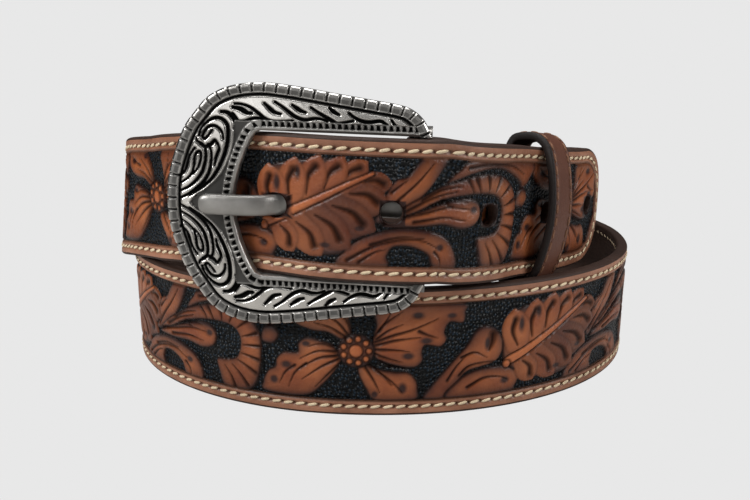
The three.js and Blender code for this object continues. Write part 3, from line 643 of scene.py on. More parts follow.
    def _dent(self, middle: np.ndarray, half: np.ndarray) -> None:
        """Presses a soft dent that took up more stain.

        Args:
            middle: its middle.
            half: half its length along the strap and half its width across it.
        """
        index, x, y = self._window(middle - half, middle + half)
        share = np.exp(-((x - middle[0]) / half[0]) ** 2 - ((y - middle[1]) / half[1]) ** 2)
        share = share * self.cover[index]
        self.height[index] = self.height[index] - 0.35 * share
        self.shade[index] = np.maximum(self.shade[index], 1.1 * share)

    def _midrib(self) -> None:
        """Raises the leaf's tapering stem between its two cuts."""
        line = smooth_curve(MIDRIB)
        index, x, y = self._window(line.min(axis=0), line.max(axis=0))
        distance, along = polyline_distance(x, y, line)
        half = self.RIB_HALF - self.RIB_TAPER * along / along.max()
        share = np.clip((half - distance) / TILE_STEP + 0.5, 0, 1)
        self._lay(index, share, 0.02, 0.1)
        self._score(index, share, np.exp(-((distance - half - 0.25) / self.RING_WIDTH) ** 2), 0.4)

    def _flower_centre(self) -> None:
        """Raises the flower's disc, its middle dot and the ring of dots round it."""
        along, across = FLOWER_CENTRE
        disc = [(along + 5.2 * math.cos(turn), across + 5 * math.sin(turn)) for turn in around(20)]
        self._lobe(disc, 0.75)
        self._dot(FLOWER_CENTRE, 1.9)
        for turn in around(9):
            self._dot((along + 3.7 * math.cos(turn), across + 3.6 * math.sin(turn)), 0.85)

    def _dot(self, centre: tuple, radius: float) -> None:
        """Raises a round seed with a cut ring round it.

        Args:
            centre: its middle.
            radius: its radius.
        """
        index, x, y = self._window(centre, centre)
        distance = np.hypot(x - centre[0], y - centre[1])
        share = np.clip((radius - distance) / TILE_STEP + 0.5, 0, 1)
        dome = self.DOME * np.sqrt(np.clip(1 - (distance / radius) ** 2, 0, 1)) - self.DOME
        self._lay(index, share, dome, 0.15)
        self._score(index, share, np.exp(-((distance - radius - 0.1) / self.RING_WIDTH) ** 2), 0.3)

    def sample(self, length: np.ndarray, rise: np.ndarray) -> tuple:
        """Bilinear values of the fields, with the repeat going on along the strap.

        Args:
            length: lengths from the heel bar.
            rise: distances up from the middle line.

        Returns:
            Height, cover, line and shade.
        """
        along = (length % TILE_PERIOD) / TILE_STEP
        across = np.clip((rise + TILE_HALF) / TILE_STEP, 0, self.rows - 1.001)
        j, i = np.floor(along).astype(int), np.floor(across).astype(int)
        fu, fv = along - j, across - i
        j0, j1 = j % self.columns, (j + 1) % self.columns
        return tuple(blend(blend(table[i, j0], table[i, j1], fu), blend(table[i + 1, j0], table[i + 1, j1], fu), fv)
                     for table in (self.height, self.cover, self.line, self.shade))


class CarvedFace:
    """The strap's carved outer face: the repeat inside its border line, plain margins outside it."""

    def __init__(self, path: CoilPath) -> None:
        """Keeps the path, makes the repeat and fits whole stitches into the row that goes round the tip."""
        self.path = path
        self.tile = ToolingTile()
        self.row_radius = HALF_WIDTH - STITCH_INSET
        total = 2 * (path.straight - STITCH_START) + math.pi * self.row_radius
        self.stitch_count = int(total / STITCH_PITCH)
        self.stitch_pitch = total / self.stitch_count

    def fields(self, length: np.ndarray, rise: np.ndarray) -> tuple:
        """Height of the carved face and the masks for its colours.

        Args:
            length: lengths from the heel bar.
            rise: distances up from the middle line.

        Returns:
            Height in millimetres, then cover, line, shade and margin shares.
        """
        edge = self.path.edge_distance(length, rise)
        height, cover, line, shade = self.tile.sample(length, rise)
        field = smoothstep(edge, FIELD_INSET, FIELD_INSET + 0.3)
        border = np.clip(1 - np.abs(edge - FIELD_INSET) / 0.5, 0, 1)
        channel = np.exp(-((edge - STITCH_INSET) / 0.6) ** 2)
        needle = self._needle_holes(length, rise, edge)
        height = height * field - 0.45 * border - 0.32 * channel - 0.4 * needle
        # The needle holes' dark spots join the dark marks as painted shade.
        line = np.maximum(np.maximum(line * field, border ** 0.7), np.maximum(needle, 0.4 * channel))
        return height, 1 - (1 - cover) * field, line, shade * field, 1 - field

    def _needle_holes(self, length: np.ndarray, rise: np.ndarray, edge: np.ndarray) -> np.ndarray:
        """Dark spots between the stitches, painted shade of the needle holes, counted along the row that goes round
        the tip.

        Args:
            length: lengths from the heel bar.
            rise: distances up from the middle line.
            edge: distances in from the cut edge.

        Returns:
            Shares from 0 to 1.
        """
        past = length - self.path.straight
        turn = np.where(past > 0, np.arctan2(past, -rise), np.where(rise > 0, np.pi, 0))
        back = np.where(rise > 0, np.maximum(-past, 0), np.minimum(past, 0))
        row = (self.path.straight - STITCH_START + self.row_radius * turn + back) / self.stitch_pitch
        along = (row - np.round(row)) * self.stitch_pitch
        return np.exp(-(along / 0.5) ** 2 - ((edge - STITCH_INSET) / 0.5) ** 2)


class MeshMaker:
    """Turns arrays into a closed, smooth mesh object."""

    @staticmethod
    def ring_faces(rings: int, count: int, loop: bool = False) -> np.ndarray:
        """Quads between neighbouring rings of points.

        Args:
            rings: how many rings.
            count: points in each ring.
            loop: whether the last ring joins the first.

        Returns:
            Four vertex numbers a row, ordered ring by ring.
        """
        r, k = np.meshgrid(np.arange(rings if loop else rings - 1), np.arange(count), indexing="ij")
        after, beside = (r + 1) % rings * count, (k + 1) % count
        return np.stack([r * count + k, after + k, after + beside, r * count + beside], axis=-1).reshape(-1, 4)

    @staticmethod
    def tube_faces(rings: int, count: int) -> list:
        """Quads between neighbouring rings, then a flat cap on the first ring and one on the last."""
        last = (rings - 1) * count
        caps = [list(range(count)), list(range(last + count - 1, last - 1, -1))]
        return MeshMaker.ring_faces(rings, count).tolist() + caps

    @staticmethod
    def build(name: str, points: np.ndarray, faces: list, materials: list, slots: np.ndarray | None = None,
              attributes: dict | None = None, outward: bool = True) -> bpy.types.Object:
        """Makes the object.

        Args:
            name: the piece's name.
            points: vertices in millimetres.
            faces: lists of vertex numbers.
            materials: the materials, in slot order.
            slots: material number of each face.
            attributes: arrays of three numbers a vertex, by name.
            outward: whether the faces are turned outwards afterwards.

        Returns:
            The new object.
        """
        mesh = bpy.data.meshes.new(name)
        mesh.from_pydata((points.reshape(-1, 3) * MM).tolist(), [], faces)
        for material in materials:
            mesh.materials.append(material)
        if slots is not None:
            mesh.polygons.foreach_set("material_index", np.asarray(slots, np.int32))
        for key, values in (attributes or {}).items():
            layer = mesh.attributes.new(key, "FLOAT_VECTOR", "POINT")
            layer.data.foreach_set("vector", np.ascontiguousarray(values, np.float32).ravel())
        mesh.polygons.foreach_set("use_smooth", np.array([len(face) <= 4 for face in faces]))
        if outward:
            work = bmesh.new()
            work.from_mesh(mesh)
            bmesh.ops.recalc_face_normals(work, faces=work.faces)
            work.to_mesh(mesh)
            work.free()
        mesh.update()
        piece = bpy.data.objects.new(name, mesh)
        bpy.context.scene.collection.objects.link(piece)
        return piece

    @staticmethod
    def mark(piece: bpy.types.Object, finish: Finish, node: str = "") -> None:
        """Says what a piece rides on and hides the CAD node that it replaces.

        Args:
            piece: the piece.
            finish: its slot; not used.
            node: the CAD node that it stands for, or nothing for an added piece.
        """
        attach(piece, BODY)
        if node:
            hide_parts(node)


class NodeSheet:
    """Short names for building a node tree."""

    def __init__(self, tree: bpy.types.NodeTree) -> None:
        """Keeps the tree and empties it."""
        self.tree = tree
        tree.nodes.clear()

    def feed(self, node: bpy.types.Node, values: dict) -> None:
        """Links sockets to a node's inputs, and sets the others to constants.

        Args:
            node: the node.
            values: constants or sockets, by the input's name or number.
        """
        for key, value in values.items():
            if isinstance(value, bpy.types.NodeSocket):
                self.tree.links.new(value, node.inputs[key])
            else:
                node.inputs[key].default_value = value

    def add(self, kind: str, values: dict | None = None, **settings: object) -> bpy.types.Node:
        """Adds a node.

        Args:
            kind: the node's type.
            values: constants or sockets for its inputs, by name or number.
            settings: the node's own settings.

        Returns:
            The node.
        """
        node = self.tree.nodes.new(kind)
        for key, value in settings.items():
            setattr(node, key, value)
        self.feed(node, values or {})
        return node

    def math(self, operation: str, first: object, second: object, clamp: bool = False) -> bpy.types.NodeSocket:
        """Output of a math node, which can be held between 0 and 1."""
        return self.add("ShaderNodeMath", {0: first, 1: second}, operation=operation, use_clamp=clamp).outputs[0]

    def mix(self, share: object, first: object, second: object) -> bpy.types.NodeSocket:
        """Mixed colour, with the share of the second one."""
        return self.add("ShaderNodeMix", {0: share, 6: first, 7: second}, data_type="RGBA").outputs[2]

    def ramp(self, share: object, low: float, high: float) -> bpy.types.NodeSocket:
        """Value mapped from between two limits onto 0 to 1."""
        return self.add("ShaderNodeMapRange", {"Value": share, "From Min": low, "From Max": high}).outputs["Result"]

    def attribute(self, name: str) -> tuple:
        """Vector of a mesh attribute, and its three numbers."""
        vector = self.add("ShaderNodeAttribute", attribute_name=name).outputs["Vector"]
        return vector, self.add("ShaderNodeSeparateXYZ", {0: vector}).outputs

    def bump(self, height: object, depth: float, **values: object) -> bpy.types.NodeSocket:
        """Normal of a height, a number of metres deep."""
        return self.add("ShaderNodeBump", {"Height": height, "Distance": depth, **values}).outputs[0]


def colour(*shares: float) -> tuple:
    """Linear colour, with its alpha, of an sRGB one from 0 to 255."""
    return (*[v / 255 / 12.92 if v <= 10.3 else ((v / 255 + 0.055) / 1.055) ** 2.4 for v in shares], 1.0)


def new_group(name: str, given: tuple, made: tuple) -> tuple:
    """Empty node group.

    Args:
        name: its name.
        given: name and type of its input.
        made: names of its outputs, all numbers.

    Returns:
        Its sheet and its input socket.
    """
    tree = bpy.data.node_groups.new(name, "ShaderNodeTree")
    tree.interface.new_socket(given[0], in_out="INPUT", socket_type=given[1])
    for label in made:
        tree.interface.new_socket(label, in_out="OUTPUT", socket_type="NodeSocketFloat")
    sheet = NodeSheet(tree)
    return sheet, sheet.add("NodeGroupInput").outputs[given[0]]


def grain_group() -> bpy.types.NodeTree:
    """Node group with leather grain: two sizes of noise and the pores' cells, as one height.

    Returns:
        The group. Its input is a scale, and its outputs are a height and a slow blotch from 0 to 1.
    """
    sheet, scale = new_group("leather_grain", ("Scale", "NodeSocketFloat"), ("Height", "Blotch"))
    place = sheet.add("ShaderNodeTexCoord").outputs["Object"]
    fine = sheet.add("ShaderNodeTexNoise", {"Vector": place, "Scale": scale, "Detail": 3, "Roughness": 0.6})
    cells = sheet.add("ShaderNodeTexVoronoi", {"Vector": place, "Scale": scale}, feature="SMOOTH_F1")
    slow = sheet.add("ShaderNodeTexNoise", {"Vector": place, "Scale": 85, "Detail": 4, "Roughness": 0.55})
    height = sheet.math("ADD", sheet.math("MULTIPLY", fine.outputs[0], 0.7),
                        sheet.math("MULTIPLY", cells.outputs["Distance"], 0.5))
    sheet.add("NodeGroupOutput", {"Height": height, "Blotch": sheet.ramp(slow.outputs[0], 0.3, 0.7)})
    return sheet.tree


def pebble_group() -> bpy.types.NodeTree:
    """Node group with the pebbled ground: round cells on the strap's own coordinates.

    Returns:
        The group. Its input is the strap vector in millimetres; its outputs are a height and the share of painted
        highlights on some pebble tops.
    """
    sheet, strap = new_group("pebbled_ground", ("Strap", "NodeSocketVector"), ("Height", "Painted Pebble Highlight"))
    cells = sheet.add("ShaderNodeTexVoronoi", {"Vector": strap, "Scale": 0.95, "Randomness": 0.75},
                      voronoi_dimensions="2D")
    red = sheet.add("ShaderNodeSeparateColor", {"Color": cells.outputs["Color"]}).outputs[0]
    # Spots near the cells' middles, the pebble tops, are lightened blue: painted highlights.
    near = sheet.ramp(cells.outputs["Distance"], 0.42, 0.16)
    sheet.add("NodeGroupOutput", {"Height": sheet.math("SUBTRACT", 1, cells.outputs["Distance"]),
                                  "Painted Pebble Highlight": sheet.math("MULTIPLY", sheet.math("GREATER_THAN", red, 0.4), near)})
    return sheet.tree


@dataclass(frozen=True)
class Surface:
    """Plain values of a finish."""

    base: tuple
    roughness: float
    blotch: tuple = (0, 0, 0, 1)
    blotch_share: float = 0.25
    grain_depth: float = 0.00012
    grain_scale: float = 1600
    metallic: float = 0


PLAIN_FINISHES = {
    "keeper_leather_brown": Surface(colour(98, 62, 48), 0.45, colour(70, 40, 30), 0.5),
    "dyed_edge": Surface(colour(56, 38, 30), 0.6, colour(32, 22, 18), 0.35),
    # Keeper's cut edges: black dye, made darker still as painted shade for the loop's dark side and opening.
    "keeper_edge_dye_and_painted_shade": Surface(colour(20, 13, 11), 0.6, colour(34, 24, 20), 0.3),
    "inner_leather": Surface(colour(62, 44, 36), 0.75, colour(34, 24, 20), 0.4),
    "cream_thread": Surface(colour(222, 204, 172), 0.7, colour(150, 120, 90), 0.3, 0.0001, 5200),
    "brown_thread": Surface(colour(120, 84, 62), 0.6, colour(84, 54, 38), 0.25, 0.0001, 5200),
    "post_steel": Surface(colour(70, 66, 60), 0.45, grain_depth=0.00002, metallic=1),
}


class Materials:
    """Every material of the belt, made once."""

    def __init__(self) -> None:
        """Makes the node groups and the materials."""
        self.grain = grain_group()
        self.pebbles = pebble_group()
        self.tooled = self._tooled("tooled_leather")
        self.plain = {name: self._plain(name, surface) for name, surface in PLAIN_FINISHES.items()}
        self.silver = self._silver("antique_silver_cast")
        self.strap = [self.tooled, self.plain["dyed_edge"], self.plain["inner_leather"]]

    def _start(self, name: str, grain_scale: float) -> tuple:
        """New material with a Principled node and the leather grain.

        Args:
            name: its name.
            grain_scale: scale of the grain.

        Returns:
            The material, its node sheet, the Principled node and the grain's outputs.
        """
        material = bpy.data.materials.new(name)
        material.use_nodes = True
        sheet = NodeSheet(material.node_tree)
        shader = sheet.add("ShaderNodeBsdfPrincipled")
        sheet.add("ShaderNodeOutputMaterial", {0: shader.outputs[0]})
        grain = sheet.add("ShaderNodeGroup", node_tree=self.grain)
        sheet.feed(grain, {"Scale": grain_scale})
        return material, sheet, shader, grain.outputs

    def _plain(self, name: str, surface: Surface) -> bpy.types.Material:
        """Material with one colour, blotches and grain.

        Args:
            name: its name.
            surface: its values.

        Returns:
            The material.
        """
        material, sheet, shader, grain = self._start(name, surface.grain_scale)
        share = sheet.math("MULTIPLY", grain["Blotch"], surface.blotch_share)
        sheet.feed(shader, {"Base Color": sheet.mix(share, surface.base, surface.blotch),
                            "Normal": sheet.bump(grain["Height"], surface.grain_depth),
                            "Roughness": surface.roughness, "Metallic": surface.metallic,
                            "Specular IOR Level": 0.3})
        return material

    def _tooled(self, name: str) -> bpy.types.Material:
        """Carved leather: stained motifs, dark cuts, blue-black pebbled ground and plain margins.

        Args:
            name: its name.

        Returns:
            The material.
        """
        material, sheet, shader, grain = self._start(name, 1050)
        _, (cover, line, shade) = sheet.attribute("tool")
        strap, (_, _, margin) = sheet.attribute("strap")
        pebbles = sheet.add("ShaderNodeGroup", node_tree=self.pebbles)
        sheet.feed(pebbles, {"Strap": strap})
        light = sheet.mix(grain["Blotch"], colour(188, 110, 62), colour(138, 66, 30))
        motif = sheet.mix(sheet.ramp(shade, 0.15, 0.95), light, colour(42, 11, 4))
        plain = sheet.mix(grain["Blotch"], colour(168, 118, 92), colour(124, 80, 58))
        leather = sheet.mix(margin, motif, plain)
        # Blue-black dyed ground; its lighter blue spots are painted highlights on the pebble tops.
        ground = sheet.mix(pebbles.outputs["Painted Pebble Highlight"], colour(2, 4, 6), colour(24, 38, 50))
        whole = sheet.mix(sheet.ramp(cover, 0.35, 0.65), ground, leather)
        marks = sheet.math("MULTIPLY", line, 0.94, clamp=True)
        bare = sheet.math("SUBTRACT", 1, cover, clamp=True)
        coarse = sheet.bump(sheet.math("MULTIPLY", pebbles.outputs["Height"], bare), 0.0006)
        dull = sheet.math("MAXIMUM", sheet.math("MULTIPLY", bare, 0.66), marks)
        sheet.feed(shader, {
            "Base Color": sheet.mix(marks, whole, colour(18, 7, 4)),
            "Normal": sheet.bump(grain["Height"], 0.00018, Normal=coarse),
            "Roughness": sheet.math("SUBTRACT", 0.4, sheet.math("MULTIPLY", bare, 0.04)),
            "Specular IOR Level": sheet.math("SUBTRACT", 0.45, sheet.math("MULTIPLY", dull, 0.4)),
        })
        return material

    def _silver(self, name: str) -> bpy.types.Material:
        """Antique silver: bright on raised parts, black in the recesses.

        Args:
            name: its name.

        Returns:
            The material.
        """
        material, sheet, shader, grain = self._start(name, 900)
        dark = sheet.attribute("relief")[1][0]
        bright = sheet.mix(grain["Blotch"], colour(216, 213, 208), colour(172, 169, 164))
        sheet.feed(shader, {
            "Base Color": sheet.mix(dark, bright, colour(5, 5, 5)),
            "Normal": sheet.bump(grain["Height"], 0.00004),
            "Metallic": sheet.math("SUBTRACT", 1, sheet.math("MULTIPLY", dark, 0.6), clamp=True),
            "Roughness": sheet.math("ADD", 0.2, sheet.math("MULTIPLY", dark, 0.35)),
            "Specular IOR Level": sheet.math("SUBTRACT", 0.5, sheet.math("MULTIPLY", dark, 0.45)),
        })
        return material


@dataclass
class Strap:
    """The strap: folded buckle end, two turns and rounded tip, in closed lengths."""

    path: CoilPath
    face: CarvedFace
    materials: Materials
    tip_columns: int = 84
    inner_columns: int = 12
    fold_columns: int = 24
    leg_rows: int = 90
    bend_rows: int = 24

    def build(self) -> list:
        """Makes the lengths one after another.

        Returns:
            The pieces.
        """
        pieces = [self._fold()]
        for number, (start, end, step, columns) in enumerate(LENGTHS):
            rows = np.linspace(start, end, int(round((end - start) / step)) + 1)
            pieces.append(self._length(f"strap_length_{number + 1}", rows, columns))
        pieces.append(self._tip())
        for piece in pieces:
            MeshMaker.mark(piece, Finish.STRAP, "strap")
        return pieces

    @staticmethod
    def _section(thickness: np.ndarray, columns: int, inner: int) -> tuple:
        """Closed section: flat outer face, rounded edge, inner face, rounded edge.

        Args:
            thickness: thickness of each row.
            columns: spans across the outer face.
            inner: spans across the inner face.

        Returns:
            Rise and depth of each row's points, and the material number of each span round the section.
        """
        flat = HALF_WIDTH - EDGE_ROUND
        turn = np.radians([18, 36, 54, 72, 90])
        round_rise = flat + EDGE_ROUND * np.sin(turn)
        upper = np.minimum(EDGE_ROUND, thickness / 2)[:, None] * (1 - np.cos(turn))[None, :]
        edge_rise = np.concatenate([round_rise, round_rise[::-1]])
        edge_depth = np.concatenate([upper, thickness[:, None] - upper[:, ::-1]], axis=1)
        rise = np.concatenate([np.linspace(-flat, flat, columns + 1), edge_rise,
                               np.linspace(flat, -flat, inner + 1), -edge_rise])
        rows = len(thickness)
        depth = np.concatenate([np.zeros((rows, columns + 1)), edge_depth,
                                np.repeat(thickness[:, None], inner + 1, axis=1), edge_depth[:, ::-1]], axis=1)
        edge_spans = len(edge_rise) + 1
        kinds = np.repeat([0, 1, 2, 1], [columns, edge_spans, inner, edge_spans])
        return np.repeat(rise[None, :], rows, axis=0), depth, kinds

    def _grid(self, rows: np.ndarray, columns: int, inner: int, half: np.ndarray | None = None) -> tuple:
        """Points and attributes of a length of strap.

        Args:
            rows: lengths from the heel bar.
            columns: spans across the outer face.
            inner: spans across the inner face.
            half: share of the full half width at each row.

        Returns:
            Points, attributes, material number of each quad, and the lengths and rises of all points.
        """
        rise, depth, kinds = self._section(self.path.thickness(rows), columns, inner)
        if half is not None:
            rise = rise * half[:, None]
        length = np.repeat(rows[:, None], rise.shape[1], axis=1)
        height, cover, line, shade, margin = self.face.fields(length, rise)
        on_face = np.arange(rise.shape[1])[None, :] <= columns
        points = self.path.surface(length, rise, np.where(on_face, height, 0) - depth)
        attributes = {"strap": np.stack([length, rise, margin], axis=-1).reshape(-1, 3),
                      "tool": np.stack([cover, line, shade], axis=-1).reshape(-1, 3)}
        flat = np.stack([length.ravel(), rise.ravel()], axis=1)
        return points, attributes, np.tile(kinds, len(rows) - 1), flat

    def _length(self, name: str, rows: np.ndarray, columns: int) -> bpy.types.Object:
        """A plain length of strap.

        Args:
            name: the piece's name.
            rows: lengths from the heel bar.
            columns: spans across the outer face.

        Returns:
            The piece.
        """
        points, attributes, slots, _ = self._grid(rows, columns, self.inner_columns)
        return MeshMaker.build(name, points, MeshMaker.tube_faces(*points.shape[:2]), self.materials.strap,
                               [*slots, 2, 2], attributes, outward=False)

    def _fold(self) -> bpy.types.Object:
        """Folded end: the skived leg behind the first turn, then its bend, an arc round the heel bar.

        Returns:
            The piece.
        """
        leg_at_bar = SKIVED_THICKNESS + PLAY + 2 * BAR_RADIUS + PLAY
        leg = np.linspace(FOLD_LENGTH, 0, self.leg_rows)
        depth = leg_at_bar + (LAYER_PITCH - leg_at_bar) * smoothstep(leg, 0, SKIVE_LENGTH)
        place = FramePlace(self.path)
        outward = math.atan2(place.normal[1], place.normal[0])
        turn = np.linspace(outward - math.pi, outward, self.bend_rows)[1:-1]
        flat = np.stack([np.cos(turn), np.sin(turn), 0 * turn], axis=1)
        flat -= (flat @ place.axis)[:, None] * place.axis[None, :]
        flat /= np.linalg.norm(flat, axis=1)[:, None]
        thick = np.full(len(leg) + len(turn), SKIVED_THICKNESS)
        rise, section, kinds = self._section(thick, self.fold_columns, self.inner_columns)
        legs, bend = slice(0, len(leg)), slice(len(leg), None)
        straight = self.path.surface(leg[:, None], rise[legs],
                                     -(depth[:, None] + SKIVED_THICKNESS - section[legs]))
        reach = BAR_RADIUS + PLAY + SKIVED_THICKNESS - section[bend]
        bent = place.bar + flat[:, None, :] * reach[..., None] + place.axis * rise[bend][..., None]
        points = np.concatenate([straight, bent])
        blank = np.zeros((points[..., 0].size, 3))
        return MeshMaker.build("strap_fold", points, MeshMaker.tube_faces(*points.shape[:2]),
                               self.materials.strap, [*np.tile(kinds, len(points) - 1), 2, 2],
                               {"strap": blank + np.array([0, 0, 1]), "tool": blank + np.array([1, 0, 0])})

    def _tip(self) -> bpy.types.Object:
        """The last length with the punched holes and the half-round tip.

        Returns:
            The piece.
        """
        start, straight, columns = LENGTHS[-1][1], self.path.straight, self.tip_columns
        body = np.linspace(start, straight, int(round((straight - start) / TIP_STEP)) + 1)
        turn = np.radians(np.linspace(0, TIP_DEGREES, 66))[1:]
        rows = np.concatenate([body, straight + HALF_WIDTH * np.sin(turn)])
        half = np.concatenate([np.ones(len(body)), np.cos(turn)])
        points, attributes, slots, flat = self._grid(rows, columns, columns, half)
        count = points.shape[1]
        tube = MeshMaker.tube_faces(len(rows), count)
        keep = np.ones(len(tube), bool)
        total, faces, kinds, rings = len(flat), [], [], []
        for hole in self._holes():
            (outer, inner), cells = hole.blocks(rows, columns, count)
            keep[cells] = False
            made = hole.rings(self.face, *flat[outer].T, *flat[inner].T)
            size = len(outer)
            levels = [outer, *(total + size * k + np.arange(size) for k in range(len(made))), inner]
            total += size * len(made)
            rings += made
            for a, b, kind in zip(levels[:-1], levels[1:], Hole.KINDS):
                faces += np.stack([a, np.roll(a, -1), np.roll(b, -1), b], axis=1).tolist()
                kinds += [kind] * size
        all_points, strap, tool = (np.vstack([first, *rest]) for first, rest in zip(
            (points.reshape(-1, 3), attributes["strap"], attributes["tool"]), zip(*rings)))
        return MeshMaker.build("strap_tip", all_points, [f for f, stays in zip(tube, keep) if stays] + faces,
                               self.materials.strap, [*np.array([*slots, 2, 1])[keep], *kinds],
                               {"strap": strap, "tool": tool})

    def _holes(self) -> list:
        """The prong's hole, which is drawn long by the prong, then the plain holes.

        Returns:
            The holes.
        """
        centres = self.path.bar - PRONG_HOLE_FROM_BAR + HOLE_PITCH * np.arange(1, HOLE_COUNT)
        radii = (HOLE_RADIUS, HOLE_RADIUS)
        return [Hole(952.6, 957.8, (3.0, 3.1), (4.6, 3.1), 28), *(Hole(c, c, radii, radii, 19) for c in centres)]


@dataclass
class Hole:
    """A punched hole that takes the place of a block of the strap's grid."""

    KINDS = (0, 0, 0, 1, 1, 1, 2)

    outer_centre: float
    inner_centre: float
    outer_radii: tuple
    inner_radii: tuple
    row_cells: int
    column_cells: int = 16

    def blocks(self, rows: np.ndarray, columns: int, count: int) -> tuple:
        """The blocks of the outer and the inner face that the hole takes away.

        Args:
            rows: lengths of the grid's rows.
            columns: spans across each face.
            count: points in each ring.

        Returns:
            Vertex numbers round both blocks, in the same order, and the numbers of the removed quads.
        """
        left = columns // 2 - self.column_cells // 2
        right = left + self.column_cells
        inner_end = count - (count - 2 * columns - 2) // 2 - 1
        found, cells = [], []
        for centre, inner in ((self.outer_centre, False), (self.inner_centre, True)):
            first = int(np.searchsorted(rows, centre)) - self.row_cells // 2
            last = first + self.row_cells
            ring = np.array([(first, c) for c in range(left, right)] + [(r, right) for r in range(first, last)]
                            + [(last, c) for c in range(right, left, -1)]
                            + [(r, left) for r in range(last, first, -1)])
            found.append(ring[:, 0] * count + (inner_end - ring[:, 1] if inner else ring[:, 1]))
            r, c = (grid.ravel() for grid in np.mgrid[first:last, left:right])
            cells.append(r * count + (inner_end - 1 - c if inner else c))
        return found, np.concatenate(cells)

    @staticmethod
    def _oval(centre: float, radii: tuple, turn: np.ndarray, grow: float = 0) -> np.ndarray:
        """Lengths and rises of an oval's points."""
        return np.stack([centre + (radii[0] + grow) * np.cos(turn), (radii[1] + grow) * np.sin(turn)])

    def rings(self, face: CarvedFace, length: np.ndarray, rise: np.ndarray, inner_length: np.ndarray,
              inner_rise: np.ndarray) -> list:
        """Rings from the outer block's edge, over the rounded lip, through the leather to the inner block.

        Args:
            face: the carved face.
            length: lengths of the outer perimeter.
            rise: rises of the outer perimeter.
            inner_length: lengths of the inner perimeter.
            inner_rise: rises of the inner perimeter.

        Returns:
            Points, strap and tool attributes of each ring.
        """
        turn = np.arctan2(rise, length - self.outer_centre)
        back_turn = np.arctan2(inner_rise, inner_length - self.inner_centre)
        lip = self._oval(self.outer_centre, self.outer_radii, turn, HOLE_LIP)
        edge = self._oval(self.outer_centre, self.outer_radii, turn)
        back = self._oval(self.inner_centre, self.inner_radii, back_turn)
        made = []
        for share in (0.5, 1):
            place = blend(np.stack([length, rise]), lip, share)
            height, cover, line, shade, margin = face.fields(*place)
            made.append(self._ring(face, place, blend(height, -0.12, share), margin,
                                   (np.maximum(cover, share), line + 0.7 * share * share, shade + share)))
        grown = np.stack([self.inner_centre + (back[0] - self.inner_centre) * 1.07, back[1] * 1.07])
        for place, out, line in ((edge, -0.5, 0.6), (edge * 0.5 + back * 0.5, -STRAP_THICKNESS / 2, 0.9),
                                 (back, 0.4 - STRAP_THICKNESS, 0.9), (grown, -STRAP_THICKNESS, 0)):
            made.append(self._ring(face, place, out, 0, (1, line, 0.9)))
        return made

    @staticmethod
    def _ring(face: CarvedFace, place: np.ndarray, out: object, margin: object, tool: tuple) -> tuple:
        """One ring with its attributes.

        Args:
            face: the carved face.
            place: lengths and rises.
            out: distances out of the face.
            margin: margin share.
            tool: cover, line and shade shares.

        Returns:
            Points, strap attribute and tool attribute.
        """
        blank = np.zeros(place.shape[1])
        return (face.path.surface(*place, blank + out), np.stack([*place, blank + margin], axis=1),
                np.stack([blank + share for share in tool], axis=1))


class FramePlace:
    """Where the buckle's frame stands: its own coordinates to the part's."""

    def __init__(self, path: CoilPath) -> None:
        """Works out the heel bar and the frame's axes."""
        self.normal = path.normal_at(0)
        self.bar = path.surface(np.zeros(1), np.zeros(1), np.array([-BAR_DEPTH]))[0]
        right = np.array([math.cos(FRAME_TURN), math.sin(FRAME_TURN), 0])
        up = np.array([0.0, 0.0, 1.0])
        self.front = np.cross(right, up)
        self.right = right * math.cos(FRAME_ROLL) + up * math.sin(FRAME_ROLL)
        self.axis = up * math.cos(FRAME_ROLL) - right * math.sin(FRAME_ROLL)

    def points(self, along: np.ndarray, up: np.ndarray, front: np.ndarray) -> np.ndarray:
        """Points from the frame's coordinates, whose zero is the middle of the plate's back face.

        Args:
            along: distances to the right.
            up: distances up.
            front: distances to the front.

        Returns:
            Points in millimetres.
        """
        along, up, front = np.broadcast_arrays(along, up, front)
        past = np.abs(up) - WINDOW_HALF
        stretch = np.where(up > 0, UPPER_LIMB_SHARE, LOWER_LIMB_SHARE)
        up = np.where(past > 0, np.sign(up) * (WINDOW_HALF + past * stretch), up)
        return (self.bar + (along - BAR_ALONG)[..., None] * self.right + up[..., None] * self.axis
                + (front + BAR_BEHIND)[..., None] * self.front)


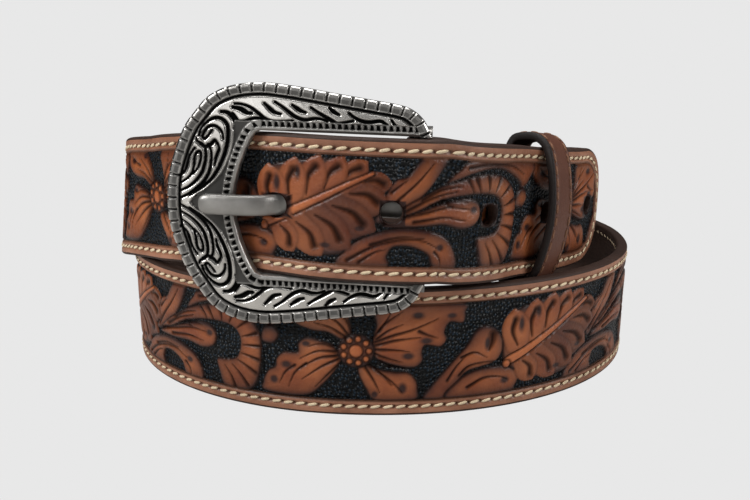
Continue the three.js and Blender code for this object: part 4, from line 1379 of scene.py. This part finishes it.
@dataclass
class Buckle:
    """The cast frame with its heel bar, and the prong."""

    place: FramePlace
    materials: Materials
    sections: int = 860
    spans: int = 72
    cut_off: int = 5
    round_points: int = 24
    prong_points: int = 32

    def build(self) -> list:
        """Makes the frame and the prong.

        Returns:
            The pieces.
        """
        pieces = [self._frame(), self._prong()]
        for piece, node in zip(pieces, ("buckle_frame", "prong")):
            MeshMaker.mark(piece, Finish.SILVER, node)
        return pieces

    @staticmethod
    def _mirrored(rows: list, along: float, up: float) -> list:
        """Points from the upper limb's end through rows of shares, and the same mirrored, to the lower one's."""
        upper = [(FRAME_HALF_LENGTH, WINDOW_HALF)] + [(a * along, u * up) for a, u in rows]
        return upper + [(a, -u) for a, u in reversed(upper[:-1])]

    def _curves(self) -> tuple:
        """Outline and window edge with matching points, from the upper limb's end to the lower one's.

        Returns:
            Outline points, window points and the fine window edge.
        """
        outline = resampled(smooth_curve(self._mirrored(OUTLINE_ROWS, FRAME_HALF_LENGTH, FRAME_HALF_HEIGHT),
                                         steps=12), self.sections)
        window = resampled(np.array(self._mirrored(WINDOW_ROWS, -WINDOW_BOW, WINDOW_HALF)), 4 * self.sections)
        half = [(self._nearest(outline, a), self._nearest(window, b)) for a, b in FRAME_PAIRS]
        ends = (len(outline) - 1, len(window) - 1)
        matched = half + [(ends[0] - a, ends[1] - b) for a, b in reversed(half[:-1])]
        at = np.interp(np.arange(len(outline)), *np.array(matched, float).T)
        return outline, columns_at(at, np.arange(len(window)), window), window

    @staticmethod
    def _nearest(line: np.ndarray, point: tuple) -> int:
        """Number of the line's point closest to a place."""
        return int(np.argmin(np.hypot(line[:, 0] - point[0], line[:, 1] - point[1])))

    @staticmethod
    def _engraving(along: np.ndarray, mirrored: np.ndarray) -> tuple:
        """Height and darkness of the engraved field, and of the sunken band beside the scroll.

        Args:
            along: distances to the right.
            mirrored: distances from the middle, up or down.

        Returns:
            Heights in millimetres and darkness shares.
        """
        groove = np.zeros(along.shape)
        for width, points in FRAME_GROOVES:
            distance, length = polyline_distance(along, mirrored, smooth_curve(points, steps=5))
            swell = 0.55 + 0.45 * np.sin(np.pi * np.clip(length / length.max(), 0.12, 0.88))
            groove = np.maximum(groove, np.clip(1.25 - distance / (width * 1.3 * swell), 0, 1))
        band = smoothstep(along - np.interp(mirrored, *SIDE_BAND_EDGE.T), 0.7, 1)
        band = band * smoothstep(-along, 8, 9.5) * smoothstep(22.5 - mirrored, 0, 1)
        groove = groove * (1 - smoothstep(band, 0.2, 0.8))
        return blend(3.7 - 0.85 * groove, 3.1, band), blend(smoothstep(groove, 0.08, 0.45), 0.9, band)

    @staticmethod
    def _notches(inner: np.ndarray, arc: np.ndarray) -> np.ndarray:
        """Slanting notches of the inner border, a little wider at one end.

        Args:
            inner: distances from the window.
            arc: lengths along the window's edge.

        Returns:
            Shares from 0 to 1.
        """
        share = (inner - 0.95) / 1.9
        side = np.abs((arc / BEAD_PITCH) % 1 - 0.5 - 0.12 * (share - 0.5))
        notch = smoothstep(0.46 - side * (0.75 + share), 0.02, 0.16)
        return notch * (smoothstep(inner, 1.05, 1.3) * smoothstep(2.75 - inner, 0, 0.3))

    def _relief(self, along: np.ndarray, up: np.ndarray, outer: np.ndarray, inner: np.ndarray,
                arc: np.ndarray, inner_arc: np.ndarray) -> tuple:
        """Front height and darkness of the cast face.

        The rim is a round bead cut into bricks, then a groove, the engraved field, the row of notches
        and a bright bevel at the window.

        Args:
            along: distances to the right.
            up: distances up.
            outer: distances from the outline.
            inner: distances from the window.
            arc: lengths along the outline.
            inner_arc: lengths along the window's edge.

        Returns:
            Heights in millimetres and darkness shares.
        """
        height, dark = self._engraving(along, np.abs(up))
        moat = smoothstep(outer, RIM_WIDTH - 0.1, RIM_WIDTH + 0.25) * smoothstep(4 - outer, 0, 0.5)
        height, dark = blend(height, 2.75, moat), np.maximum(dark, moat)
        bead = smoothstep(inner, 0.75, 0.95) * smoothstep(3 - inner, 0, 0.25)
        notch = self._notches(inner, inner_arc)
        height, dark = blend(height, 3.5 - 0.65 * notch, bead), blend(dark, np.maximum(0.5, notch), bead)
        bevel = 1 - smoothstep(inner, 0.7, 0.85)
        height, dark = blend(height, 3.1 + 0.8 * np.clip(inner, 0, 0.7), bevel), blend(dark, 0.35, bevel)
        rim = 1 - smoothstep(outer, RIM_WIDTH - 0.25, RIM_WIDTH)
        bulge = np.sqrt(np.clip(1 - ((outer - 1.45) / 1.6) ** 2, 0, 1))
        from_joint = np.abs((arc / BRICK_PITCH) % 1 - 0.5) * BRICK_PITCH
        joint = np.clip(1.3 - from_joint / 0.3, 0, 1)
        panel = smoothstep(from_joint, 0.6, 0.8)
        panel *= smoothstep(outer, 1.15, 1.35) * smoothstep(2.45 - outer, 0, 0.2)
        # The rim is darkened all over except a thin line along its outer edge, left bright as a painted highlight.
        plain = (0.62 + 0.2 * panel) * smoothstep(outer, 0.35, 0.9)
        return (blend(height, 2.6 + 1.2 * bulge - 0.8 * joint - 0.12 * panel, rim),
                blend(dark, np.maximum(smoothstep(joint, 0.3, 0.8), plain), rim))

    def _frame(self) -> bpy.types.Object:
        """The engraved frame: rings across the band from the window to the outline and back behind.

        Returns:
            The piece.
        """
        outline, inner, window = self._curves()
        keep = slice(self.cut_off, self.sections - self.cut_off)
        edge, foot = outline[keep], inner[keep]
        front = blend(foot[:, None, :], edge[:, None, :], np.linspace(0, 1, self.spans + 1)[None, :, None])
        along, up = front[..., 0], front[..., 1]
        outer_distance, arc = polyline_distance(along, up, outline)
        inner_distance, inner_arc = polyline_distance(along, up, window)
        height, dark = self._relief(along, up, outer_distance, inner_distance, arc, inner_arc)
        side = np.gradient(edge, axis=0)
        side = np.stack([-side[:, 1], side[:, 0]], axis=1)
        side /= np.linalg.norm(side, axis=1)[:, None]
        side *= np.sign(((edge - foot) * side).sum(axis=1))[:, None]
        blank = np.zeros((len(edge), 1))
        rings = [(edge + side * out, level, shade) for out, level, shade in WALL_RINGS]
        rings += [(blend(foot, edge, share), 0, 0.6) for share in (0.75, 0.5, 0.25, 0.03)]
        rings += [(foot, level, 0.5) for level in (0.3, 1.7)]
        blocks = [(along, up, height, dark)]
        blocks += [(flat[:, :1], flat[:, 1:], blank + level, blank + shade) for flat, level, shade in rings]
        along, up, height, dark = (np.concatenate(part, axis=1) for part in zip(*blocks))
        points = self.place.points(along, up, height)
        faces = MeshMaker.tube_faces(*points.shape[:2])
        all_points, all_dark = points.reshape(-1, 3), dark.ravel()
        for extra_points, extra_faces in self._fittings():
            faces += [[len(all_points) + v for v in face] for face in extra_faces]
            all_points = np.vstack([all_points, extra_points])
            all_dark = np.concatenate([all_dark, np.full(len(extra_points), 0.45)])
        return MeshMaker.build("buckle_cast", all_points, faces, [self.materials.silver],
                               attributes={"relief": np.repeat(all_dark[:, None], 3, axis=1)})

    def _fittings(self) -> list:
        """Heel bar and its two bosses.

        Returns:
            Points and faces of each closed shape.
        """
        turn = around(self.round_points)
        levels = np.array([-BAR_HALF_LENGTH, BAR_HALF_LENGTH])
        points = self.place.points(BAR_ALONG + BAR_RADIUS * np.cos(turn)[None, :], levels[:, None],
                                   -BAR_BEHIND + BAR_RADIUS * np.sin(turn)[None, :])
        made = [(points.reshape(-1, 3), MeshMaker.tube_faces(2, self.round_points))]
        for side in (1, -1):
            corner = np.array([(a, u, f) for a in (BAR_ALONG - BOSS_HALF, BAR_ALONG + BOSS_HALF)
                               for u in (side * WINDOW_HALF, side * (WINDOW_HALF + BOSS_HEIGHT))
                               for f in (-3.9, 1.5)])
            made.append((self.place.points(*corner.T),
                         [[0, 1, 3, 2], [4, 6, 7, 5], [0, 4, 5, 1], [2, 3, 7, 6], [0, 2, 6, 4], [1, 5, 7, 3]]))
        return made

    def _prong(self) -> bpy.types.Object:
        """Rounded tongue from the heel bar to its tip on the left limb, with the eye round the bar.

        Returns:
            The piece.
        """
        limb = BAR_ALONG + WINDOW_BOW - 1
        reach = BAR_ALONG + WINDOW_BOW + PRONG_PAST_WINDOW
        on_limb = FRAME_FRONT + PLAY + PRONG_THICKNESS / 2
        blunt = reach - PRONG_TIP
        station = np.concatenate([np.linspace(0, limb, 110), np.linspace(limb, blunt, 16)[1:],
                                  blunt + PRONG_TIP * np.sin(np.radians(np.linspace(0, 86, 16)))[1:]])
        bend = smooth_curve([(0, -BAR_BEHIND), (20, -0.6), (33, 0.4), (37, 1.5), (40, 3.6), (43.5, 5.05),
                             (48, on_limb - 0.05), (52, on_limb), (60, on_limb)])
        front = np.interp(station, bend[:, 0], bend[:, 1])
        tip = np.clip((station - blunt) / PRONG_TIP, 0, 1)
        share = np.sqrt(np.clip(1 - tip ** 2, 0.01, 1))
        turn = around(self.prong_points)
        wide, deep = (np.sign(part) * np.abs(part) ** PRONG_CORNER * size / 2
                      for part, size in ((np.sin(turn), PRONG_WIDTH), (np.cos(turn), PRONG_THICKNESS)))
        points = self.place.points((BAR_ALONG - station)[:, None], wide[None, :] * (0.35 + 0.65 * share)[:, None],
                                   front[:, None] + deep[None, :] * (0.3 + 0.7 * share)[:, None])
        faces = MeshMaker.tube_faces(*points.shape[:2])
        eye_points, eye_faces = self._eye(points[..., 0].size)
        points = np.vstack([points.reshape(-1, 3), eye_points])
        return MeshMaker.build("prong_tongue", points, faces + eye_faces, [self.materials.silver],
                               attributes={"relief": np.full(points.shape, 0.5)})

    def _eye(self, base: int) -> tuple:
        """Ring of the prong round the heel bar.

        Args:
            base: number of its first vertex.

        Returns:
            Points and faces.
        """
        inner, half, bevel = BAR_RADIUS + PLAY, PRONG_WIDTH / 2, 0.4
        outer = inner + EYE_WALL
        radius, level = np.array([(outer, -half + bevel), (outer, half - bevel), (outer - bevel, half),
                                  (inner, half), (inner, -half), (outer - bevel, -half)]).T
        turn = around(self.prong_points)
        points = self.place.points(BAR_ALONG + np.cos(turn)[:, None] * radius[None, :], level[None, :],
                                   -BAR_BEHIND + np.sin(turn)[:, None] * radius[None, :])
        faces = MeshMaker.ring_faces(len(turn), len(radius), loop=True) + base
        return points.reshape(-1, 3), faces.tolist()


@dataclass
class Keeper:
    """The loose leather loop with its two rows of stitches."""

    path: CoilPath
    materials: Materials
    loop_points: int = 240
    face_points: int = 30
    back_points: int = 8

    def build(self) -> list:
        """Makes the loop and its stitches.

        Returns:
            The pieces.
        """
        self._set_axes()
        loop = self._loop_line()
        pieces = [self._band(loop), self._stitches(loop)]
        for piece, node in zip(pieces, ("keeper", "")):
            MeshMaker.mark(piece, Finish.KEEPER, node)
        return pieces

    def _set_axes(self) -> None:
        """Middle of the held layers, and the axes out, up and along."""
        at, zero = np.array([self.path.bar + KEEPER_FROM_BAR]), np.zeros(1)
        point = self.path.surface(at, zero, zero)[0]
        ahead = self.path.surface(at + 1, zero, zero)[0]
        along = (ahead - point) / np.linalg.norm(ahead - point)
        out = self.path.normal_at(at[0])
        up = np.cross(out, along)
        up /= np.linalg.norm(up)
        self.middle, self.out, self.up = point - out * STACK / 2, np.cross(along, up), up
        self.direction = np.cross(self.out, up)

    def _loop_line(self) -> np.ndarray:
        """Inner outline of the loop, out and up from the middle.

        Returns:
            The outline's points.
        """
        reach, back, high = STACK / 2 + KEEPER_BULGE, KEEPER_ROWS[-1][0], HALF_WIDTH + KEEPER_HEADROOM
        shift = (STACK / 2 + PLAY) / reach + back
        upper = [((d - (shift * d / back if d < 0 else 0)) * reach, h * high) for d, h in KEEPER_ROWS]
        lower = [(d, -h) for d, h in reversed(upper[1:-1])]
        line = smooth_curve(upper + lower, closed=True, steps=10)
        return resampled(np.vstack([line, line[:1]]), self.loop_points + 1)[:-1]

    @staticmethod
    def _sides(line: np.ndarray) -> np.ndarray:
        """Outward unit direction at each point of the loop: its step, turned by a right angle.

        Args:
            line: the loop.

        Returns:
            Unit directions.
        """
        step = np.roll(line, -1, axis=0) - np.roll(line, 1, axis=0)
        step /= np.linalg.norm(step, axis=1)[:, None]
        side = np.stack([step[:, 1], -step[:, 0]], axis=1)
        return side * np.sign((side * line).sum(axis=1).mean())

    def _place(self, flat: np.ndarray, along: np.ndarray) -> np.ndarray:
        """Points from places out and up in the loop's plane, and distances along the strap."""
        return self.middle + flat[..., :1] * self.out + flat[..., 1:] * self.up + along[..., None] * self.direction

    def _band(self, line: np.ndarray) -> bpy.types.Object:
        """The loop's band: rounded edges, with a shallow channel under each row of stitches.

        Args:
            line: the inner outline.

        Returns:
            The piece.
        """
        half, rounded, bevel = KEEPER_WIDTH / 2, KEEPER_ROUND, 0.4
        face = np.linspace(-half + rounded, half - rounded, self.face_points)
        turn = np.radians([22.5, 45, 67.5, 90])
        edge_along = half - rounded + rounded * np.sin(turn)
        edge_out = KEEPER_THICKNESS - rounded + rounded * np.cos(turn)
        channel = 0.22 * np.exp(-((np.abs(face) - (half - KEEPER_ROW_INSET)) / 0.45) ** 2)
        back = np.linspace(half - bevel, -half + bevel, self.back_points)
        along = np.concatenate([face, edge_along, [half], back, [-half], -edge_along[::-1]])
        out = np.concatenate([KEEPER_THICKNESS - channel, edge_out, [bevel], 0 * back, [bevel], edge_out[::-1]])
        flat = line[:, None, :] + self._sides(line)[:, None, :] * out[None, :, None]
        points = self._place(flat, np.repeat(along[None, :], len(line), axis=0))
        kinds = np.repeat([0, 1, 2, 1], [29, 7, 7, len(along) - 43])
        # The keeper's edges take the near-black finish, partly real edge dye and partly painted shade.
        materials = [self.materials.plain[name] for name in ("keeper_leather_brown", "keeper_edge_dye_and_painted_shade", "inner_leather")]
        return MeshMaker.build("keeper_loop", points,
                               MeshMaker.ring_faces(len(line), len(along), loop=True).tolist(), materials,
                               np.tile(kinds, len(line)))

    def _stitches(self, line: np.ndarray) -> bpy.types.Object:
        """Two rows of stitches round the loop.

        Args:
            line: the inner outline.

        Returns:
            The piece.
        """
        sides = self._sides(line)
        closed, sides = (np.vstack([rows, rows[:1]]) for rows in (line + sides * KEEPER_THICKNESS, sides))
        length = lengths_along(closed)
        number = int(length[-1] / KEEPER_STITCH_PITCH)
        template, cells = stitch_shape(8, 5)
        middle = (np.arange(number) + 0.5) * length[-1] / number
        at = (middle[:, None] + template[None, :, 0]) % length[-1]
        flat = columns_at(at, length, closed) + columns_at(at, length, sides) * (template[:, 2] - 0.05)[:, None]
        across = np.array([-1, 1])[:, None, None] * (KEEPER_WIDTH / 2 - KEEPER_ROW_INSET) + template[:, 1]
        points = self._place(flat[None], np.repeat(across, number, axis=1))
        return MeshMaker.build("keeper_stitches", points, repeated(cells, 2 * number, len(template)),
                               [self.materials.plain["brown_thread"]])


def stitch_shape(sides: int, rings: int) -> tuple:
    """A stitch: a short thread with round ends, a little flattened, along its first coordinate.

    Args:
        sides: points round it.
        rings: rings along it.

    Returns:
        Points and faces.
    """
    spots = np.linspace(-1, 1, rings + 2)[1:-1]
    swell = (1 - np.abs(spots) ** 3.2) ** 0.5
    turn = around(sides)
    length = np.repeat(spots[:, None] * STITCH_LENGTH / 2, sides, axis=1)
    body = np.stack([length, STITCH_HALF_WIDTH * swell[:, None] * np.cos(turn)[None, :],
                     STITCH_HALF_HEIGHT * swell[:, None] * np.sin(turn)[None, :]], axis=-1).reshape(-1, 3)
    ends = [[-STITCH_LENGTH / 2, 0, -0.1], [STITCH_LENGTH / 2, 0, -0.1]]
    faces = MeshMaker.ring_faces(rings, sides).tolist()
    end = (rings - 1) * sides
    for k in range(sides):
        faces += [[len(body), k, (k + 1) % sides], [len(body) + 1, end + (k + 1) % sides, end + k]]
    return np.vstack([body, ends]), faces


def repeated(cells: list, number: int, count: int) -> list:
    """A shape's faces over and over, for a number of shapes with count points each."""
    return [[k * count + v for v in cell] for k in range(number) for cell in cells]


@dataclass
class Stitches:
    """Rows of stitches along both edges of the strap, on both faces."""

    path: CoilPath
    face: CarvedFace
    materials: Materials

    def build(self) -> list:
        """Makes the outer and the inner rows.

        Returns:
            The pieces.
        """
        pieces = [self._rows("strap_stitches_outer", 8, 5, True), self._rows("strap_stitches_inner", 6, 3, False)]
        for piece in pieces:
            MeshMaker.mark(piece, Finish.STRAP)
        return pieces

    def _rows(self, name: str, sides: int, rings: int, outer: bool) -> bpy.types.Object:
        """Stitches up one edge, in a half circle round the tip and back down the other edge.

        Args:
            name: the piece's name.
            sides: points round each stitch.
            rings: rings along each stitch.
            outer: whether they are on the carved face.

        Returns:
            The piece.
        """
        inset, straight = self.face.row_radius, self.path.straight
        run = straight - STITCH_START
        middle = (np.arange(self.face.stitch_count) + 0.5) * self.face.stitch_pitch
        template, cells = stitch_shape(sides, rings)
        cosine, sine = math.cos(STITCH_SLANT), math.sin(STITCH_SLANT)
        x = (template[:, 0] * cosine - template[:, 1] * sine)[None, :]
        y = (template[:, 0] * sine + template[:, 1] * cosine)[None, :]
        turn = np.clip((middle - run) / inset, 0, math.pi)
        back = np.maximum(middle - run - math.pi * inset, 0)
        at = np.where(middle < run, STITCH_START + middle, straight - back)
        at = (at + np.where((turn > 0) & (turn < math.pi), inset * np.sin(turn), 0))[:, None]
        turn = turn[:, None]
        length = at + x * np.cos(turn) - y * np.sin(turn)
        up = -inset * np.cos(turn) + x * np.sin(turn) + y * np.cos(turn)
        height = template[None, :, 2]
        out = height - 0.1 + 0 * length if outer else -self.path.thickness(length) - height + 0.16
        return MeshMaker.build(name, self.path.surface(length, up, out),
                               repeated(cells, len(middle), len(template)), [self.materials.plain["cream_thread"]])


class Studio:
    """Camera, light and pale floor."""

    SEEN_GREY = colour(232, 232, 232)
    AIM = (0, -0.03, 0.045)
    FLOOR_HALF = 3.0
    FLOOR_LEVEL = -0.0004

    def build(self) -> None:
        """Makes the stage."""
        self._camera()
        self._world()
        self._floor()
        for name, (place, size, power) in LIGHTS.items():
            self._light(name, place, size, power)

    @staticmethod
    def _camera() -> None:
        """Camera where the photograph was taken, from its fitted height, tilt and focal length."""
        lens = bpy.data.cameras.new("camera")
        lens.lens = 34.56
        lens.sensor_width = 36.0
        lens.clip_start = 0.01
        camera = bpy.data.objects.new("camera", lens)
        camera.location = (-0.00029, -0.25905, 0.0963)
        camera.rotation_euler = (math.radians(76.04), 0.0, 0.0)
        bpy.context.scene.collection.objects.link(camera)
        bpy.context.scene.camera = camera
        bpy.context.scene.view_settings.view_transform = "Standard"

    @staticmethod
    def _split(sheet: NodeSheet, lit: bpy.types.Node, seen: bpy.types.Node, output: str) -> None:
        """Shows one shader to the camera and the other one to all other rays.

        Args:
            sheet: the node sheet.
            lit: shader that lights the belt.
            seen: shader that the camera sees.
            output: type of the output node.
        """
        ray = sheet.add("ShaderNodeLightPath").outputs["Is Camera Ray"]
        both = sheet.add("ShaderNodeMixShader", {0: ray, 1: lit.outputs[0], 2: seen.outputs[0]})
        sheet.add(output, {0: both.outputs[0]})

    def _world(self) -> None:
        """Pale grey behind the object, and a dimmer surround for its light."""
        world = bpy.data.worlds.new("studio")
        bpy.context.scene.world = world
        world.use_nodes = True
        sheet = NodeSheet(world.node_tree)
        seen = sheet.add("ShaderNodeBackground", {"Color": self.SEEN_GREY, "Strength": 1})
        place = sheet.add("ShaderNodeTexCoord").outputs["Generated"]
        height = sheet.add("ShaderNodeSeparateXYZ", {0: place}).outputs[2]
        sky = sheet.mix(sheet.ramp(height, -0.1, 0.9), colour(40, 40, 42), colour(190, 190, 192))
        self._split(sheet, sheet.add("ShaderNodeBackground", {"Color": sky, "Strength": 0.22}), seen,
                    "ShaderNodeOutputWorld")

    def _floor(self) -> None:
        """Shadowless pale floor that meets the background."""
        half, level = self.FLOOR_HALF, self.FLOOR_LEVEL
        mesh = bpy.data.meshes.new("floor")
        mesh.from_pydata([(-half, -half, level), (half, -half, level), (half, half, level), (-half, half, level)],
                         [], [[0, 1, 2, 3]])
        material = bpy.data.materials.new("pale_floor")
        material.use_nodes = True
        sheet = NodeSheet(material.node_tree)
        seen = sheet.add("ShaderNodeEmission", {"Color": self.SEEN_GREY, "Strength": 1})
        self._split(sheet, sheet.add("ShaderNodeBsdfDiffuse", {"Color": colour(185, 183, 180)}), seen,
                    "ShaderNodeOutputMaterial")
        mesh.materials.append(material)
        floor = bpy.data.objects.new("floor", mesh)
        bpy.context.scene.collection.objects.link(floor)

    def _light(self, name: str, place: tuple, size: float, power: float) -> None:
        """Square soft light that faces the belt.

        Args:
            name: its name.
            place: where it is.
            size: its side in metres.
            power: its power in watts.
        """
        data = bpy.data.lights.new(name, "AREA")
        data.shape = "SQUARE"
        data.size = size
        data.energy = power
        light = bpy.data.objects.new(name, data)
        light.location = place
        x, y, z = np.array(self.AIM) - np.array(place)
        light.rotation_euler = (math.atan2(math.hypot(x, y), -z), 0, math.atan2(y, x) - math.pi / 2)
        bpy.context.scene.collection.objects.link(light)


def dress_posts(materials: Materials) -> None:
    """Gives the two hidden posts their steel.

    Args:
        materials: the materials.
    """
    for name in ("screw_post_1", "screw_post_2"):
        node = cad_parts[name]
        node.data.materials.clear()
        node.data.materials.append(materials.plain["post_steel"])


def main() -> None:
    """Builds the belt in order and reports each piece."""
    logging.basicConfig(level=logging.INFO)
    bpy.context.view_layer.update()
    materials = Materials()
    path = CoilPath()
    face = CarvedFace(path)
    LOG.info("strap %.1f mm to the tip, bar at %.1f mm", path.reach, path.bar)
    for part in (Strap(path, face, materials), Stitches(path, face, materials),
                 Buckle(FramePlace(path), materials), Keeper(path, materials)):
        for piece in part.build():
            triangles = sum(len(p.vertices) - 2 for p in piece.data.polygons)
            LOG.info("%s: %d triangles", piece.name, triangles)
    dress_posts(materials)
    Studio().build()


if __name__ == "__main__":
    main()
